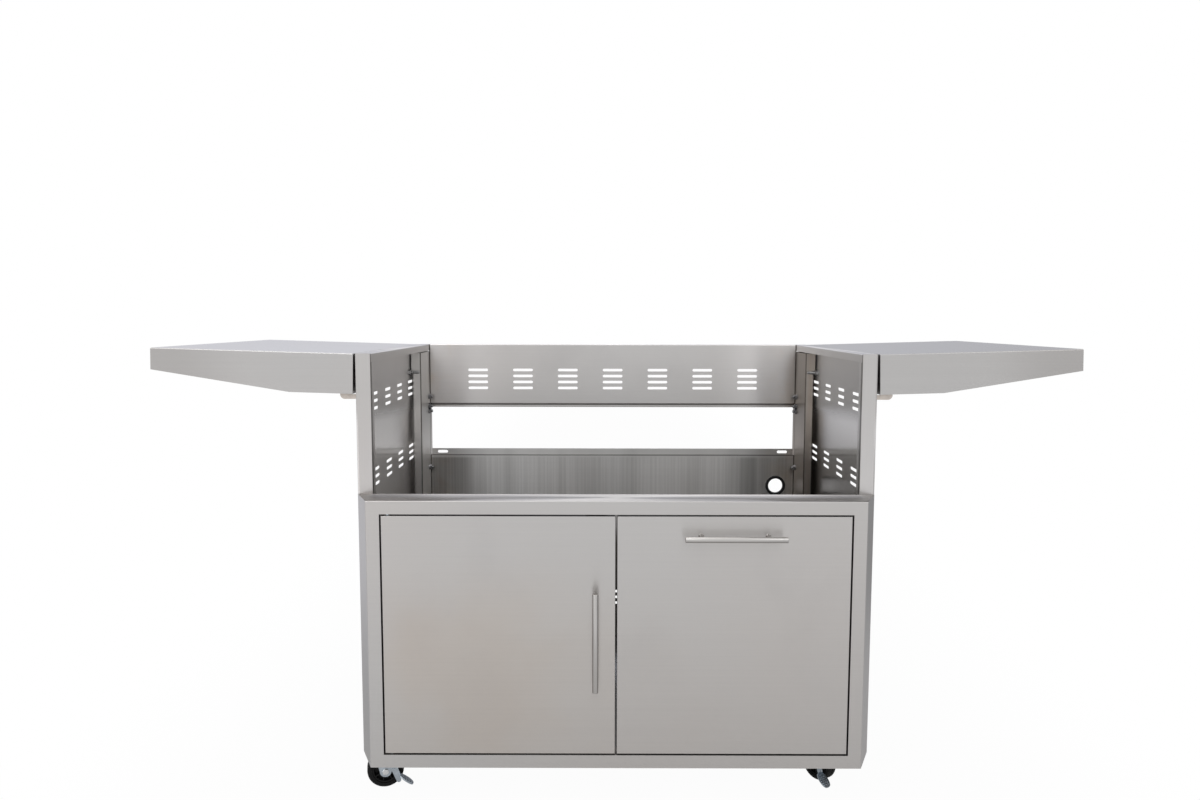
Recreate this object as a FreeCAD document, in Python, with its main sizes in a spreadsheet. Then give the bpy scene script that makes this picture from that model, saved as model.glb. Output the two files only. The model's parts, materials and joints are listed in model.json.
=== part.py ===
import FreeCAD
import Part
import Sketcher
import math
import os
import re

# Griddle cart: open bay over a cabinet with a door, a tank drawer, two fold-down shelves and four casters.
# Millimetres. X runs to the right, Y to the back, Z up; the floor is Z = 0 and the front faces -Y.

SIZES = (
    ("cart_width", 1100, "outer width across the side panels"),
    ("cart_depth", 755, "front face to the back of the side panels"),
    ("ground_clearance", 75, "floor to the lower edge of the front frame"),
    ("cabinet_height", 570, "lower edge of the front frame to the ledge"),
    ("bay_height", 299, "ledge to the top of the sides"),
    ("gauge", 1.2, "sheet thickness"),
    ("bend", 2, "outer bend radius of the formed sheets"),
    ("ledge_depth", 74, "front face to the face of the posts"),
    ("chamfer_inset", 34, "how far the front face is narrower than the cart on each side"),
    ("frame_border", 28, "face width of the frame round the opening"),
    ("jamb_depth", 36, "return of the opening's edge"),
    ("door_gap", 3.5, "gap round the door and the drawer front"),
    ("centre_gap", 4, "gap between the door and the drawer front"),
    ("door_thickness", 22, "door and drawer front, outer pan with liner"),
    ("post_width", 31.5, "face width of the posts"),
    ("post_lip", 28, "return lip of the posts"),
    ("top_lip", 17.5, "down-turned lip of the top flanges"),
    ("column_depth", 149, "rear columns, front flange to the back"),
    ("column_flange", 20, "front flange of the rear columns"),
    ("column_tab", 25.5, "wider tab at the top of that flange"),
    ("column_tab_height", 48, "wider tab at the top of that flange"),
    ("column_wall", 36, "column's front to the wall that closes it against the side"),
    ("column_drop", 2.5, "gap between a column's top and the lip over it"),
    ("back_recess", 26, "front of the back panels to the back of the cart"),
    ("vent_height", 166, "vent panel, top to hem"),
    ("hem_height", 11, "hem under the vent panel"),
    ("hem_depth", 10, "depth of the hem's trough"),
    ("hem_lip", 5.5, "up-turned lip of the hem"),
    ("back_rise", 2.5, "top of the lower back panel over the ledge"),
    ("strip_height", 18, "stepped strip along the top of the lower back panel"),
    ("strip_step", 4, "how far the strip is set back"),
    ("strip_notch", 3, "gap at each end of the strip"),
    ("slot_length", 56, "vent slots"),
    ("slot_height", 7.4, "vent slots"),
    ("slot_pitch", 17, "row to row"),
    ("slot_spacing", 127, "column to column"),
    ("back_slot_drop", 72, "top to the first row in the vent panel"),
    ("side_slot_start", 156, "post face to the first column in the sides"),
    ("side_slot_drop", 97, "top to the upper group in the sides"),
    ("low_slot_drop", 271, "top to the lower group in the sides"),
    ("low_vent_drop", 414, "ledge to the first row low in the back"),
    ("key_slot_length", 29, "slots in the ends of the strip"),
    ("key_slot_height", 8, "slots in the ends of the strip"),
    ("key_slot_inset", 34, "column to the middle of such a slot"),
    ("hose_inset", 52, "column to the middle of the hose hole"),
    ("hose_drop", 103, "ledge to the middle of the hose hole"),
    ("hose_bore", 41, "bore of the grommet"),
    ("hose_wall", 3.5, "wall of the grommet in the panel"),
    ("hose_flange", 56, "outer diameter of the grommet"),
    ("hose_lip", 3, "thickness of the grommet's flanges"),
    ("floor_setback", 12, "front face to the front edge of the cabinet floor"),
    ("handle_length", 208, "bar handles"),
    ("handle_diameter", 12, "bar handles"),
    ("handle_stand", 30, "door face to the axis of a bar"),
    ("handle_post_spacing", 138, "handle posts"),
    ("handle_post_diameter", 9, "handle posts"),
    ("handle_inset", 41, "edge of the door to the axis of its bar"),
    ("door_handle_drop", 258, "top of the door to the middle of its bar"),
    ("hinge_inset", 12, "side edge of the door to the hinge axis"),
    ("hinge_setback", 9, "face of the door to the hinge axis"),
    ("hinge_pin", 8, "diameter of the hinge pins"),
    ("hinge_reach", 8, "how far a pin goes into the door"),
    ("bush_wall", 2, "wall of the hinge bushes"),
    ("running_gap", 0.05, "radial clearance of the pins that turn"),
    ("catch_width", 40, "magnet catch and strike"),
    ("catch_height", 14, "magnet catch and strike"),
    ("catch_depth", 10, "magnet catch"),
    ("strike_thickness", 1.6, "strike plate"),
    ("catch_gap", 0.4, "strike to magnet"),
    ("tray_inset", 41, "edge of the drawer front to the side of the tray"),
    ("tray_length", 560, "tank tray"),
    ("tray_wall", 60, "height of the tray"),
    ("tray_lift", 18, "cabinet floor to the tray"),
    ("brace_rise", 300, "brace over the tray's bottom"),
    ("brace_length", 260, "brace along the tray"),
    ("brace_thickness", 2, "drawer brace"),
    ("brace_top", 50, "upper edge of a brace"),
    ("brace_toe", 30, "height of a brace's rear end"),
    ("ring_diameter", 232, "tank ring"),
    ("ring_wall", 2.5, "tank ring"),
    ("ring_height", 40, "tank ring"),
    ("rail_length", 540, "drawer slides"),
    ("rail_height", 45, "outer member of a slide"),
    ("rail_width", 14, "outer member of a slide"),
    ("rail_gauge", 1.5, "slide members"),
    ("rail_gap", 0.3, "clearance between slide members"),
    ("rail_lift", 24, "cabinet floor to a slide"),
    ("rail_clear", 2, "side of the tray to the outer member"),
    ("foot_width", 22, "slide bracket on the floor"),
    ("foot_gauge", 2, "slide bracket"),
    ("shelf_length", 426, "side shelf, end to end"),
    ("shelf_gap", 6, "cart to shelf"),
    ("shelf_height", 85, "shelf at the cart"),
    ("shelf_tip", 46, "shelf at its outer end"),
    ("shelf_flat", 134, "level part of the shelf's lower edge"),
    ("shelf_tilt", 1.65, "upward tilt of the shelves, degrees"),
    ("pivot_out", 21, "cart to the shelf's pivot"),
    ("pivot_up", 14, "lower edge of the shelf to its pivot"),
    ("pivot_pin", 8, "diameter of the pivot pins"),
    ("pivot_reach", 24, "length of the pivot pins"),
    ("bracket_reach", 36, "shelf bracket, out from the cart"),
    ("bracket_drop", 12, "shelf bracket under the shelf"),
    ("bracket_gauge", 4, "shelf bracket"),
    ("bracket_inset", 10, "shelf's apron to the bracket"),
    ("bracket_round", 10, "corner of the shelf bracket"),
    ("bracket_head", 9, "shelf bracket over its pivot"),
    ("bracket_crest", 7, "half width of the bracket's top"),
    ("bracket_back", 10, "pivot to the bracket's inner edge"),
    ("bracket_clear", 2, "apron to the bracket under it"),
    ("bolt_diameter", 8, "bolts in the bay"),
    ("bolt_length", 11, "bolts through the columns"),
    ("shelf_bolt_length", 27, "long bolt through the side, in front of the column"),
    ("nut_diameter", 13, "nuts in the bay"),
    ("nut_height", 4, "nuts in the bay"),
    ("bolt_setback", 19, "bolts in front of the back panels"),
    ("upper_bolt_rise", 20, "vent panel's lower edge to the upper bolt"),
    ("hem_bolt_rise", 4, "hem's lower edge to the bolt beside it"),
    ("hem_bolt_drop", 10, "hem's lower edge to the bolt under it"),
    ("low_bolt_drop", 48, "ledge to the lowest bolt"),
    ("shelf_bolt_rise", 95, "vent panel's lower edge to the long bolt"),
    ("shelf_bolt_lead", 9, "long bolt in front of the column"),
    ("wheel_diameter", 78, "caster wheels"),
    ("wheel_width", 32, "caster wheels"),
    ("tyre_depth", 11, "tyre over the wheel's core"),
    ("tyre_round", 7, "shoulder of the tyre"),
    ("caster_trail", 32, "swivel axis to the axle"),
    ("caster_inset", 78.5, "side of the cart to the swivel axis"),
    ("caster_setback", 80, "front face to the front swivel axes"),
    ("rear_setback", 94, "back to the rear swivel axes"),
    ("plate_length", 74, "caster plate along X"),
    ("plate_breadth", 92, "caster plate along Y"),
    ("plate_gauge", 3, "caster plate"),
    ("race_diameter", 46, "swivel race"),
    ("race_height", 6, "swivel race"),
    ("swivel_gap", 0.3, "clearance over and under the fork's crown"),
    ("crown_gauge", 4, "crown of the fork"),
    ("kingpin_diameter", 10, "kingpin"),
    ("kingpin_head", 18, "head of the kingpin"),
    ("head_height", 4, "heads of the kingpin and the axle"),
    ("screw_diameter", 10, "heads of the caster screws"),
    ("screw_height", 3.5, "heads of the caster screws"),
    ("screw_inset", 9.5, "edge of the caster plate to its screws"),
    ("fork_gauge", 2.5, "legs of the fork"),
    ("fork_gap", 2, "tyre to leg"),
    ("axle_diameter", 8, "axle"),
    ("axle_boss", 25, "leg round the axle"),
    ("axle_head", 13, "axle head and nut"),
    ("hub_diameter", 18, "hub of the wheel"),
    ("hub_gap", 0.5, "hub to leg"),
    ("core_inset", 2, "side of the tyre to the wheel's core"),
    ("fork_rear", 26, "crown of the fork behind the axle"),
    ("fork_front", 24, "crown of the fork in front of the swivel axis"),
    ("fork_cheek", 18, "front edge of the fork's legs"),
    ("pedal_gauge", 2, "lever of the brake pedal"),
    ("pedal_drop", 29, "crown of the fork to the pedal's pivot"),
    ("pedal_lag", 4, "pedal's pivot behind the swivel axis"),
    ("pedal_pin", 6, "pivot of the pedal"),
    ("pedal_ear", 7, "pedal round its pivot"),
    ("pedal_knee", 3, "back of the pedal's tread behind the swivel axis"),
    ("pedal_knee_drop", 4, "axle to the back of the pedal's tread"),
    ("pedal_tip", 24, "swivel axis to the tip of the pedal"),
    ("pedal_tip_height", 9, "floor to the tip of the pedal"),
    ("pedal_toe_height", 17, "floor to the lower end of the pedal's lever"),
    ("tread_reach", 16, "tread beside the lever"),
    ("tread_run", 5, "thickness of the tread along X"),
    ("tread_rise", 3, "thickness of the tread along Z"),
    ("turn_front_left", 14, "swivel of each caster as it stands, degrees"),
    ("turn_front_right", 303, "swivel of each caster as it stands, degrees"),
    ("turn_rear_left", 0, "swivel of each caster as it stands, degrees"),
    ("turn_rear_right", 340, "swivel of each caster as it stands, degrees"),
)

# Places that follow from the sizes.
PLACES = (
    ("half_width", "cart_width / 2"),
    ("front_y", "(handle_stand + handle_diameter / 2 - cart_depth) / 2"),
    ("rear_y", "front_y + cart_depth"),
    ("post_y", "front_y + ledge_depth"),
    ("panel_y", "rear_y - back_recess"),
    ("column_y", "rear_y - column_depth"),
    ("frame_z", "ground_clearance"),
    ("ledge_z", "frame_z + cabinet_height"),
    ("top_z", "ledge_z + bay_height"),
    ("column_top", "top_z - top_lip - column_drop"),
    ("front_half", "half_width - chamfer_inset"),
    ("slope", "chamfer_inset / ledge_depth"),
    ("wall_x", "gauge * sqrt(1 + slope * slope)"),
    ("skin_x", "half_width - gauge"),
    ("lip_x", "half_width - post_width"),
    ("opening_half", "front_half - frame_border"),
    ("opening_low", "frame_z + frame_border"),
    ("opening_top", "ledge_z - frame_border"),
    ("floor_z", "opening_low - 2 * gauge"),
    ("floor_top", "floor_z + gauge"),
    ("vent_low", "top_z - vent_height"),
    ("hem_low", "vent_low - hem_height"),
    ("strip_top", "ledge_z + back_rise"),
    ("strip_low", "strip_top - strip_height"),
    ("hose_x", "lip_x - hose_inset"),
    ("hose_z", "ledge_z - hose_drop"),
    ("door_low", "opening_low + door_gap"),
    ("door_top", "opening_top - door_gap"),
    ("door_back", "front_y + door_thickness"),
    ("leaf_inner", "centre_gap / 2"),
    ("leaf_outer", "opening_half - door_gap"),
    ("leaf_mid", "(leaf_inner + leaf_outer) / 2"),
    ("handle_y", "front_y - handle_stand"),
    ("hinge_x", "hinge_inset - leaf_outer"),
    ("hinge_y", "front_y + hinge_setback"),
    ("bush_radius", "hinge_pin / 2 + running_gap + bush_wall"),
    ("tray_half", "leaf_outer - leaf_mid - tray_inset"),
    ("tray_z", "floor_top + tray_lift"),
    ("rail_y", "front_y + jamb_depth + gauge"),
    ("rail_z", "floor_top + rail_lift"),
    ("rail_back", "tray_half + rail_width + rail_clear"),
    ("pivot_x", "half_width + pivot_out"),
    ("pivot_z", "top_z - shelf_height + pivot_up"),
    ("shelf_depth", "rear_y - post_y"),
    ("shelf_in", "shelf_gap - pivot_out"),
    ("shelf_out", "shelf_in + shelf_length"),
    ("caster_x", "half_width - caster_inset"),
    ("caster_front", "front_y + caster_setback"),
    ("caster_rear", "rear_y - rear_setback"),
    ("axle_z", "wheel_diameter / 2"),
    ("plate_low", "floor_z - plate_gauge"),
    ("crown_top", "plate_low - race_height - swivel_gap"),
    ("crown_low", "crown_top - crown_gauge"),
    ("fork_half", "wheel_width / 2 + fork_gap + fork_gauge"),
    ("pedal_z", "crown_top - pedal_drop"),
)

SLOT_COLUMNS_BACK = 7
SLOT_ROWS_BACK = 4
SLOT_COLUMNS_SIDE = 4
SLOT_ROWS_SIDE = 3
SLOT_ROWS_LOW = 3

doc = FreeCAD.newDocument("griddle_cart")
sizes = doc.addObject("Spreadsheet::Sheet", "Sizes")
places = doc.addObject("Spreadsheet::Sheet", "Places")
OWNER = {}
PARTS = []


def ex(text):
    """Names of sizes and places in an expression, with the sheet that holds them."""
    return re.sub(r"[a-z_][a-z_0-9]*", lambda hit: OWNER.get(hit.group(0), "") + hit.group(0), str(text))


def value(text):
    return float(sizes.evalExpression(ex(text)))


def bind(thing, prop, text):
    thing.setExpression(prop, ex(text))


def keep(thing):
    PARTS.append(thing)
    return thing


for number, (name, size, note) in enumerate(SIZES, 1):
    sizes.set("A%d" % number, name)
    sizes.set("B%d" % number, str(size))
    sizes.set("C%d" % number, note)
    sizes.setAlias("B%d" % number, name)
    OWNER[name] = "Sizes."
doc.recompute()
for number, (name, formula) in enumerate(PLACES, 1):
    places.set("A%d" % number, name)
    places.set("B%d" % number, "=" + re.sub(r"\bPlaces\.", "", ex(formula)))
    places.setAlias("B%d" % number, name)
    OWNER[name] = "Places."
doc.recompute()


# Sketches and features

def new_body(label):
    body = doc.addObject("PartDesign::Body", label)
    body.Label = label
    return body


class Drawing:
    """Geometry and constraints of one sketch, added to it in one go."""

    def __init__(self):
        self.lines = []
        self.rules = []
        self.texts = {}

    def size(self, text, kind, *where):
        self.texts[len(self.rules)] = ex(text)
        self.rules.append(Sketcher.Constraint(kind, *where, value(text)))

    def pin_point(self, geo, end, u, v):
        self.size(u, "DistanceX", -1, 1, geo, end)
        self.size(v, "DistanceY", -1, 1, geo, end)

    def polygon(self, points):
        spots = [FreeCAD.Vector(value(u), value(v), 0) for u, v in points]
        count = len(spots)
        first = len(self.lines)
        for i in range(count):
            self.lines.append(Part.LineSegment(spots[i], spots[(i + 1) % count]))
            self.rules.append(Sketcher.Constraint("Coincident", first + i, 2, first + (i + 1) % count, 1))
        for i, (u, v) in enumerate(points):
            self.pin_point(first + i, 1, u, v)

    def circle(self, u, v, radius):
        geo = len(self.lines)
        spot = FreeCAD.Vector(value(u), value(v), 0)
        self.lines.append(Part.Circle(spot, FreeCAD.Vector(0, 0, 1), value(radius)))
        self.pin_point(geo, 3, u, v)
        self.size(radius, "Radius", geo)

    def slot(self, u, v, length, height):
        """Round-ended slot along the sketch's first axis."""
        radius = value(height) / 2
        reach = value(length) / 2 - radius
        x = value(u)
        y = value(v)
        normal = FreeCAD.Vector(0, 0, 1)
        quarter = math.pi / 2
        left = Part.Circle(FreeCAD.Vector(x - reach, y, 0), normal, radius)
        right = Part.Circle(FreeCAD.Vector(x + reach, y, 0), normal, radius)
        a = len(self.lines)
        b, low, top = a + 1, a + 2, a + 3
        signs = ((-1, -1), (1, -1), (1, 1), (-1, 1))
        corners = [FreeCAD.Vector(x + i * reach, y + j * radius, 0) for i, j in signs]
        self.lines.append(Part.ArcOfCircle(left, quarter, 3 * quarter))
        self.lines.append(Part.ArcOfCircle(right, -quarter, quarter))
        self.lines.append(Part.LineSegment(corners[0], corners[1]))
        self.lines.append(Part.LineSegment(corners[2], corners[3]))
        for one, two in ((a, low), (low, b), (b, top), (top, a)):
            self.rules.append(Sketcher.Constraint("Tangent", one, 2, two, 1))
        half = "((%s) - (%s)) / 2" % (length, height)
        self.pin_point(a, 3, "(%s) - %s" % (u, half), v)
        self.size("(%s) + %s" % (u, half), "DistanceX", -1, 1, b, 3)
        self.size("(%s) / 2" % height, "Radius", a)
        self.rules.append(Sketcher.Constraint("Horizontal", low))

    def put(self, sketch):
        sketch.addGeometry(self.lines, False)
        sketch.addConstraint(self.rules)
        for index, text in self.texts.items():
            sketch.setExpression("Constraints[%d]" % index, text)


def new_sketch(body, plane, at, loops):
    """Sketch on an origin plane of the body; each loop is a polygon, a circle or a slot."""
    sketch = body.newObject("Sketcher::SketchObject", "Outline")
    support = [part for part in body.Origin.OriginFeatures if part.Role == plane + "_Plane"][0]
    sketch.AttachmentSupport = [(support, "")]
    sketch.MapMode = "FlatFace"
    bind(sketch, "AttachmentOffset.Base.z", "-(%s)" % at if plane == "XZ" else at)
    drawing = Drawing()
    for loop in loops:
        if isinstance(loop, list):
            drawing.polygon(loop)
        elif len(loop) == 3:
            drawing.circle(*loop)
        else:
            drawing.slot(*loop)
    drawing.put(sketch)
    return sketch


def extrude(body, kind, plane, start, end, loops):
    feature_sketch = new_sketch(body, plane, start, loops)
    feature = body.newObject("PartDesign::" + kind, kind)
    feature.Profile = feature_sketch
    bind(feature, "Length", "(%s) - (%s)" % (end, start))
    feature.Reversed = (plane == "XZ") == (kind == "Pad")
    return feature


def pad(body, plane, start, end, *loops):
    """Material between two places along the plane's normal axis."""
    return extrude(body, "Pad", plane, start, end, loops)


def pocket(body, plane, start, end, *loops):
    return extrude(body, "Pocket", plane, start, end, loops)


def rect(u0, u1, v0, v1):
    return [(u0, v0), (u1, v0), (u1, v1), (u0, v1)]


def near(low, high, place):
    return abs(low - place) < 1e-4 and abs(high - place) < 1e-4


def on(edge, x=None, y=None, z=None):
    """True where an edge lies at the given places."""
    box = edge.BoundBox
    return ((x is None or near(box.XMin, box.XMax, value(x)))
            and (y is None or near(box.YMin, box.YMax, value(y)))
            and (z is None or near(box.ZMin, box.ZMax, value(z))))


def round_edges(body, radius, test):
    doc.recompute()
    base = body.Tip
    names = ["Edge%d" % i for i, edge in enumerate(base.Shape.Edges, 1) if test(edge)]
    feature = body.newObject("PartDesign::Fillet", "Round")
    feature.Base = (base, names)
    bind(feature, "Radius", radius)


def set_place(thing, x, y, z):
    bind(thing, "Placement.Base.x", x)
    bind(thing, "Placement.Base.y", y)
    bind(thing, "Placement.Base.z", z)


TURNS = {
    "X": FreeCAD.Rotation(FreeCAD.Vector(0, 1, 0), 90),
    "Y": FreeCAD.Rotation(FreeCAD.Vector(1, 0, 0), -90),
    "Z": FreeCAD.Rotation(),
}


def cylinder(label, radius, length, x, y, z, axis):
    rod = doc.addObject("Part::Cylinder", label)
    rod.Label = label
    bind(rod, "Radius", radius)
    bind(rod, "Height", length)
    rod.Placement = FreeCAD.Placement(FreeCAD.Vector(), TURNS[axis])
    set_place(rod, x, y, z)
    return rod


def block(label, x, y, z, length, width, height):
    cuboid = doc.addObject("Part::Box", label)
    cuboid.Label = label
    bind(cuboid, "Length", length)
    bind(cuboid, "Width", width)
    bind(cuboid, "Height", height)
    set_place(cuboid, x, y, z)
    return cuboid


def cut(label, base, tool):
    result = doc.addObject("Part::Cut", label)
    result.Label = label
    result.Base = base
    result.Tool = tool
    return result


def fuse(label, members):
    result = doc.addObject("Part::MultiFuse", label)
    result.Label = label
    result.Shapes = members
    return result


def group(label, members):
    result = doc.addObject("Part::Compound", label)
    result.Label = label
    result.Links = members
    return keep(result)


def side_of(sign, text):
    """Place on the left (-1) or the right (1) of the cart."""
    return "%d * (%s)" % (sign, text)


def span(sign, near_x, far_x):
    """Lower and upper end of a stretch of X on one side of the cart."""
    ends = (side_of(sign, near_x), side_of(sign, far_x))
    return ends if sign > 0 else ends[::-1]


def slot_grid(body, plane, start, end, columns, rows, first_u, first_v):
    """Columns of vent slots through a sheet, from the upper slot of the first column."""
    for i in range(columns):
        u = "%s + %d * slot_spacing" % (first_u, i)
        heights = ["%s - %d * slot_pitch" % (first_v, j) for j in range(rows)]
        pocket(body, plane, start, end, *[(u, v, "slot_length", "slot_height") for v in heights])


# Front frame: hollow from behind, open below

frame = keep(new_body("front_frame"))
pad(frame, "XY", "frame_z", "ledge_z",
    [("-front_half", "front_y"), ("front_half", "front_y"),
     ("half_width", "post_y"), ("-half_width", "post_y")])
inner_front = "front_half + gauge * slope - wall_x"
inner_rear = "half_width + slope - wall_x"
pocket(frame, "XY", "frame_z", "ledge_z - gauge",
       [("-(%s)" % inner_front, "front_y + gauge"), (inner_front, "front_y + gauge"),
        (inner_rear, "post_y + 1"), ("-(%s)" % inner_rear, "post_y + 1")])
opening = rect("-opening_half", "opening_half", "opening_low", "opening_top")
pad(frame, "XZ", "front_y", "front_y + jamb_depth",
    rect("-opening_half - gauge", "opening_half + gauge", "opening_low - gauge", "opening_top + gauge"),
    opening)
pocket(frame, "XZ", "front_y", "front_y + gauge", opening)
round_edges(frame, "bend", lambda e: (on(e, y="front_y", z="ledge_z") or on(e, x="front_half", y="front_y")
                                      or on(e, x="-front_half", y="front_y")))


# Sides of the bay and of the cabinet

def side_panel(label, sign):
    body = keep(new_body(label))
    profile = [("half_width", "post_y"), ("half_width", "rear_y"), ("skin_x", "rear_y"),
               ("skin_x", "post_y + gauge"), ("lip_x + gauge", "post_y + gauge"),
               ("lip_x + gauge", "post_y + post_lip"), ("lip_x", "post_y + post_lip"), ("lip_x", "post_y")]
    pad(body, "XY", "floor_z", "top_z", [(side_of(sign, u), v) for u, v in profile])
    low, high = span(sign, "skin_x", "half_width")
    pad(body, "XY", "frame_z", "floor_z", rect(low, high, "post_y", "rear_y"))
    low, high = span(sign, "lip_x", "half_width")
    pad(body, "XY", "top_z - gauge", "top_z", rect(low, high, "post_y", "rear_y"))
    low, high = span(sign, "lip_x", "lip_x + gauge")
    pad(body, "XY", "top_z - top_lip", "top_z", rect(low, high, "post_y", "rear_y"))
    low, high = span(sign, "skin_x", "half_width")
    for drop in ("side_slot_drop", "low_slot_drop"):
        slot_grid(body, "YZ", low, high, SLOT_COLUMNS_SIDE, SLOT_ROWS_SIDE, "post_y + side_slot_start",
                  "top_z - " + drop)
    outer = side_of(sign, "half_width")
    inner = side_of(sign, "lip_x")
    round_edges(body, "bend", lambda e: (on(e, x=outer, y="post_y") or on(e, x=outer, z="top_z")
                                         or on(e, x=inner, z="top_z")))


def rear_column(label, sign):
    body = keep(new_body(label))
    profile = [("lip_x", "column_y"), ("lip_x + column_flange", "column_y"),
               ("lip_x + column_flange", "column_y + gauge"), ("lip_x + gauge", "column_y + gauge"),
               ("lip_x + gauge", "rear_y - gauge"), ("skin_x", "rear_y - gauge"), ("skin_x", "rear_y"),
               ("lip_x", "rear_y")]
    pad(body, "XY", "floor_z", "column_top", [(side_of(sign, u), v) for u, v in profile])
    start, end = span(sign, "lip_x", "lip_x + column_tab")
    tab = rect(start, end, "column_top - column_tab_height", "column_top")
    pad(body, "XZ", "column_y", "column_y + gauge", tab)
    start, end = span(sign, "lip_x", "skin_x")
    pad(body, "XY", "floor_z", "column_top",
        rect(start, end, "column_y + column_wall", "column_y + column_wall + gauge"))
    edge = side_of(sign, "lip_x")
    round_edges(body, "bend", lambda e: on(e, x=edge, y="column_y"))


for side, sign in (("left", -1), ("right", 1)):
    side_panel(side + "_side_panel", sign)
    rear_column(side + "_rear_column", sign)


# Back panels

def end_returns(body, low, top):
    for sign in (-1, 1):
        start, end = span(sign, "lip_x - gauge", "lip_x")
        pad(body, "XY", low, top, rect(start, end, "panel_y", "rear_y"))


vent = keep(new_body("vent_panel"))
pad(vent, "XZ", "panel_y", "panel_y + gauge", rect("-lip_x", "lip_x", "vent_low", "top_z"))
pad(vent, "XY", "top_z - gauge", "top_z", rect("-lip_x", "lip_x", "panel_y", "rear_y"))
end_returns(vent, "vent_low", "top_z")
pad(vent, "YZ", "-lip_x", "lip_x",
    [("panel_y", "vent_low"), ("panel_y + hem_depth - gauge", "vent_low"),
     ("panel_y + hem_depth - gauge", "hem_low + gauge"), ("panel_y + gauge", "hem_low + gauge"),
     ("panel_y + gauge", "hem_low + hem_lip"), ("panel_y", "hem_low + hem_lip"), ("panel_y", "hem_low"),
     ("panel_y + hem_depth", "hem_low"), ("panel_y + hem_depth", "vent_low + gauge"),
     ("panel_y", "vent_low + gauge")])
first_column = "-%g * slot_spacing" % ((SLOT_COLUMNS_BACK - 1) / 2)
slot_grid(vent, "XZ", "panel_y", "panel_y + gauge", SLOT_COLUMNS_BACK, SLOT_ROWS_BACK, first_column,
          "top_z - back_slot_drop")
round_edges(vent, "bend", lambda e: on(e, y="panel_y", z="top_z"))

lower = keep(new_body("lower_back_panel"))
pad(lower, "XZ", "panel_y", "panel_y + gauge", rect("-lip_x", "lip_x", "frame_z", "strip_low"))
end_returns(lower, "frame_z", "strip_low")
pad(lower, "YZ", "strip_notch - lip_x", "lip_x - strip_notch",
    [("panel_y", "strip_low - gauge"), ("panel_y + strip_step + gauge", "strip_low - gauge"),
     ("panel_y + strip_step + gauge", "strip_top"), ("panel_y + strip_step", "strip_top"),
     ("panel_y + strip_step", "strip_low"), ("panel_y", "strip_low")])
pocket(lower, "XZ", "panel_y + strip_step", "panel_y + strip_step + gauge",
       *[(side_of(sign, "lip_x - key_slot_inset"), "(strip_top + strip_low) / 2", "key_slot_length",
          "key_slot_height") for sign in (-1, 1)])
pocket(lower, "XZ", "panel_y", "panel_y + gauge", ("hose_x", "hose_z", "hose_bore / 2 + hose_wall"))
slot_grid(lower, "XZ", "panel_y", "panel_y + gauge", SLOT_COLUMNS_BACK, SLOT_ROWS_LOW, first_column,
          "ledge_z - low_vent_drop")

grommet = keep(new_body("hose_grommet"))
for start, end, radius in (("panel_y - hose_lip", "panel_y", "hose_flange / 2"),
                           ("panel_y", "panel_y + gauge", "hose_bore / 2 + hose_wall"),
                           ("panel_y + gauge", "panel_y + gauge + hose_lip", "hose_flange / 2")):
    pad(grommet, "XZ", start, end, ("hose_x", "hose_z", radius), ("hose_x", "hose_z", "hose_bore / 2"))
round_edges(grommet, "hose_lip / 2", lambda e: (on(e, y="panel_y - hose_lip")
                                                and e.BoundBox.XLength > value("hose_bore + hose_wall")))

cabinet_floor = keep(new_body("cabinet_floor"))
pad(cabinet_floor, "XY", "floor_z", "floor_top",
    rect("-lip_x", "lip_x", "front_y + floor_setback", "panel_y"))


# Bolts in the bay, with their nuts

bolts = []
nuts = []
for sign in (-1, 1):
    spots = [("panel_y - bolt_setback", "vent_low + upper_bolt_rise", "lip_x", "bolt_length"),
             ("panel_y - bolt_setback", "hem_low + hem_bolt_rise", "lip_x", "bolt_length"),
             ("panel_y - bolt_setback", "hem_low - hem_bolt_drop", "lip_x", "bolt_length"),
             ("panel_y - bolt_setback", "ledge_z - low_bolt_drop", "lip_x", "bolt_length"),
             ("column_y - shelf_bolt_lead", "vent_low + shelf_bolt_rise", "skin_x", "shelf_bolt_length")]
    for y, z, base, length in spots:
        number = len(bolts)
        foot = "%s - %s" % (base, length) if sign > 0 else "-(%s)" % base
        rod = cylinder("bay_bolt_%d" % number, "bolt_diameter / 2", length, foot, y, z, "X")
        start = "%s - nut_height" % base if sign > 0 else "-(%s)" % base
        ring = cylinder("nut_body_%d" % number, "nut_diameter / 2", "nut_height", start, y, z, "X")
        bore = cylinder("nut_bore_%d" % number, "bolt_diameter / 2", "nut_height", start, y, z, "X")
        bolts.append(rod)
        nuts.append(cut("bay_nut_%d" % number, ring, bore))
group("bay_bolts", bolts)
group("bay_nuts", nuts)


# Door and drawer front: pans closed by liners

def leaf(name, low, high):
    pan = keep(new_body(name))
    pad(pan, "XZ", "front_y", "door_back - gauge", rect(low, high, "door_low", "door_top"))
    pocket(pan, "XZ", "front_y + gauge", "door_back - gauge",
           rect("%s + gauge" % low, "%s - gauge" % high, "door_low + gauge", "door_top - gauge"))
    return pan


def liner(name, low, high):
    plate = keep(new_body(name))
    pad(plate, "XZ", "door_back - gauge", "door_back", rect(low, high, "door_low", "door_top"))


def front_edge(edge):
    return on(edge, y="front_y")


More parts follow.
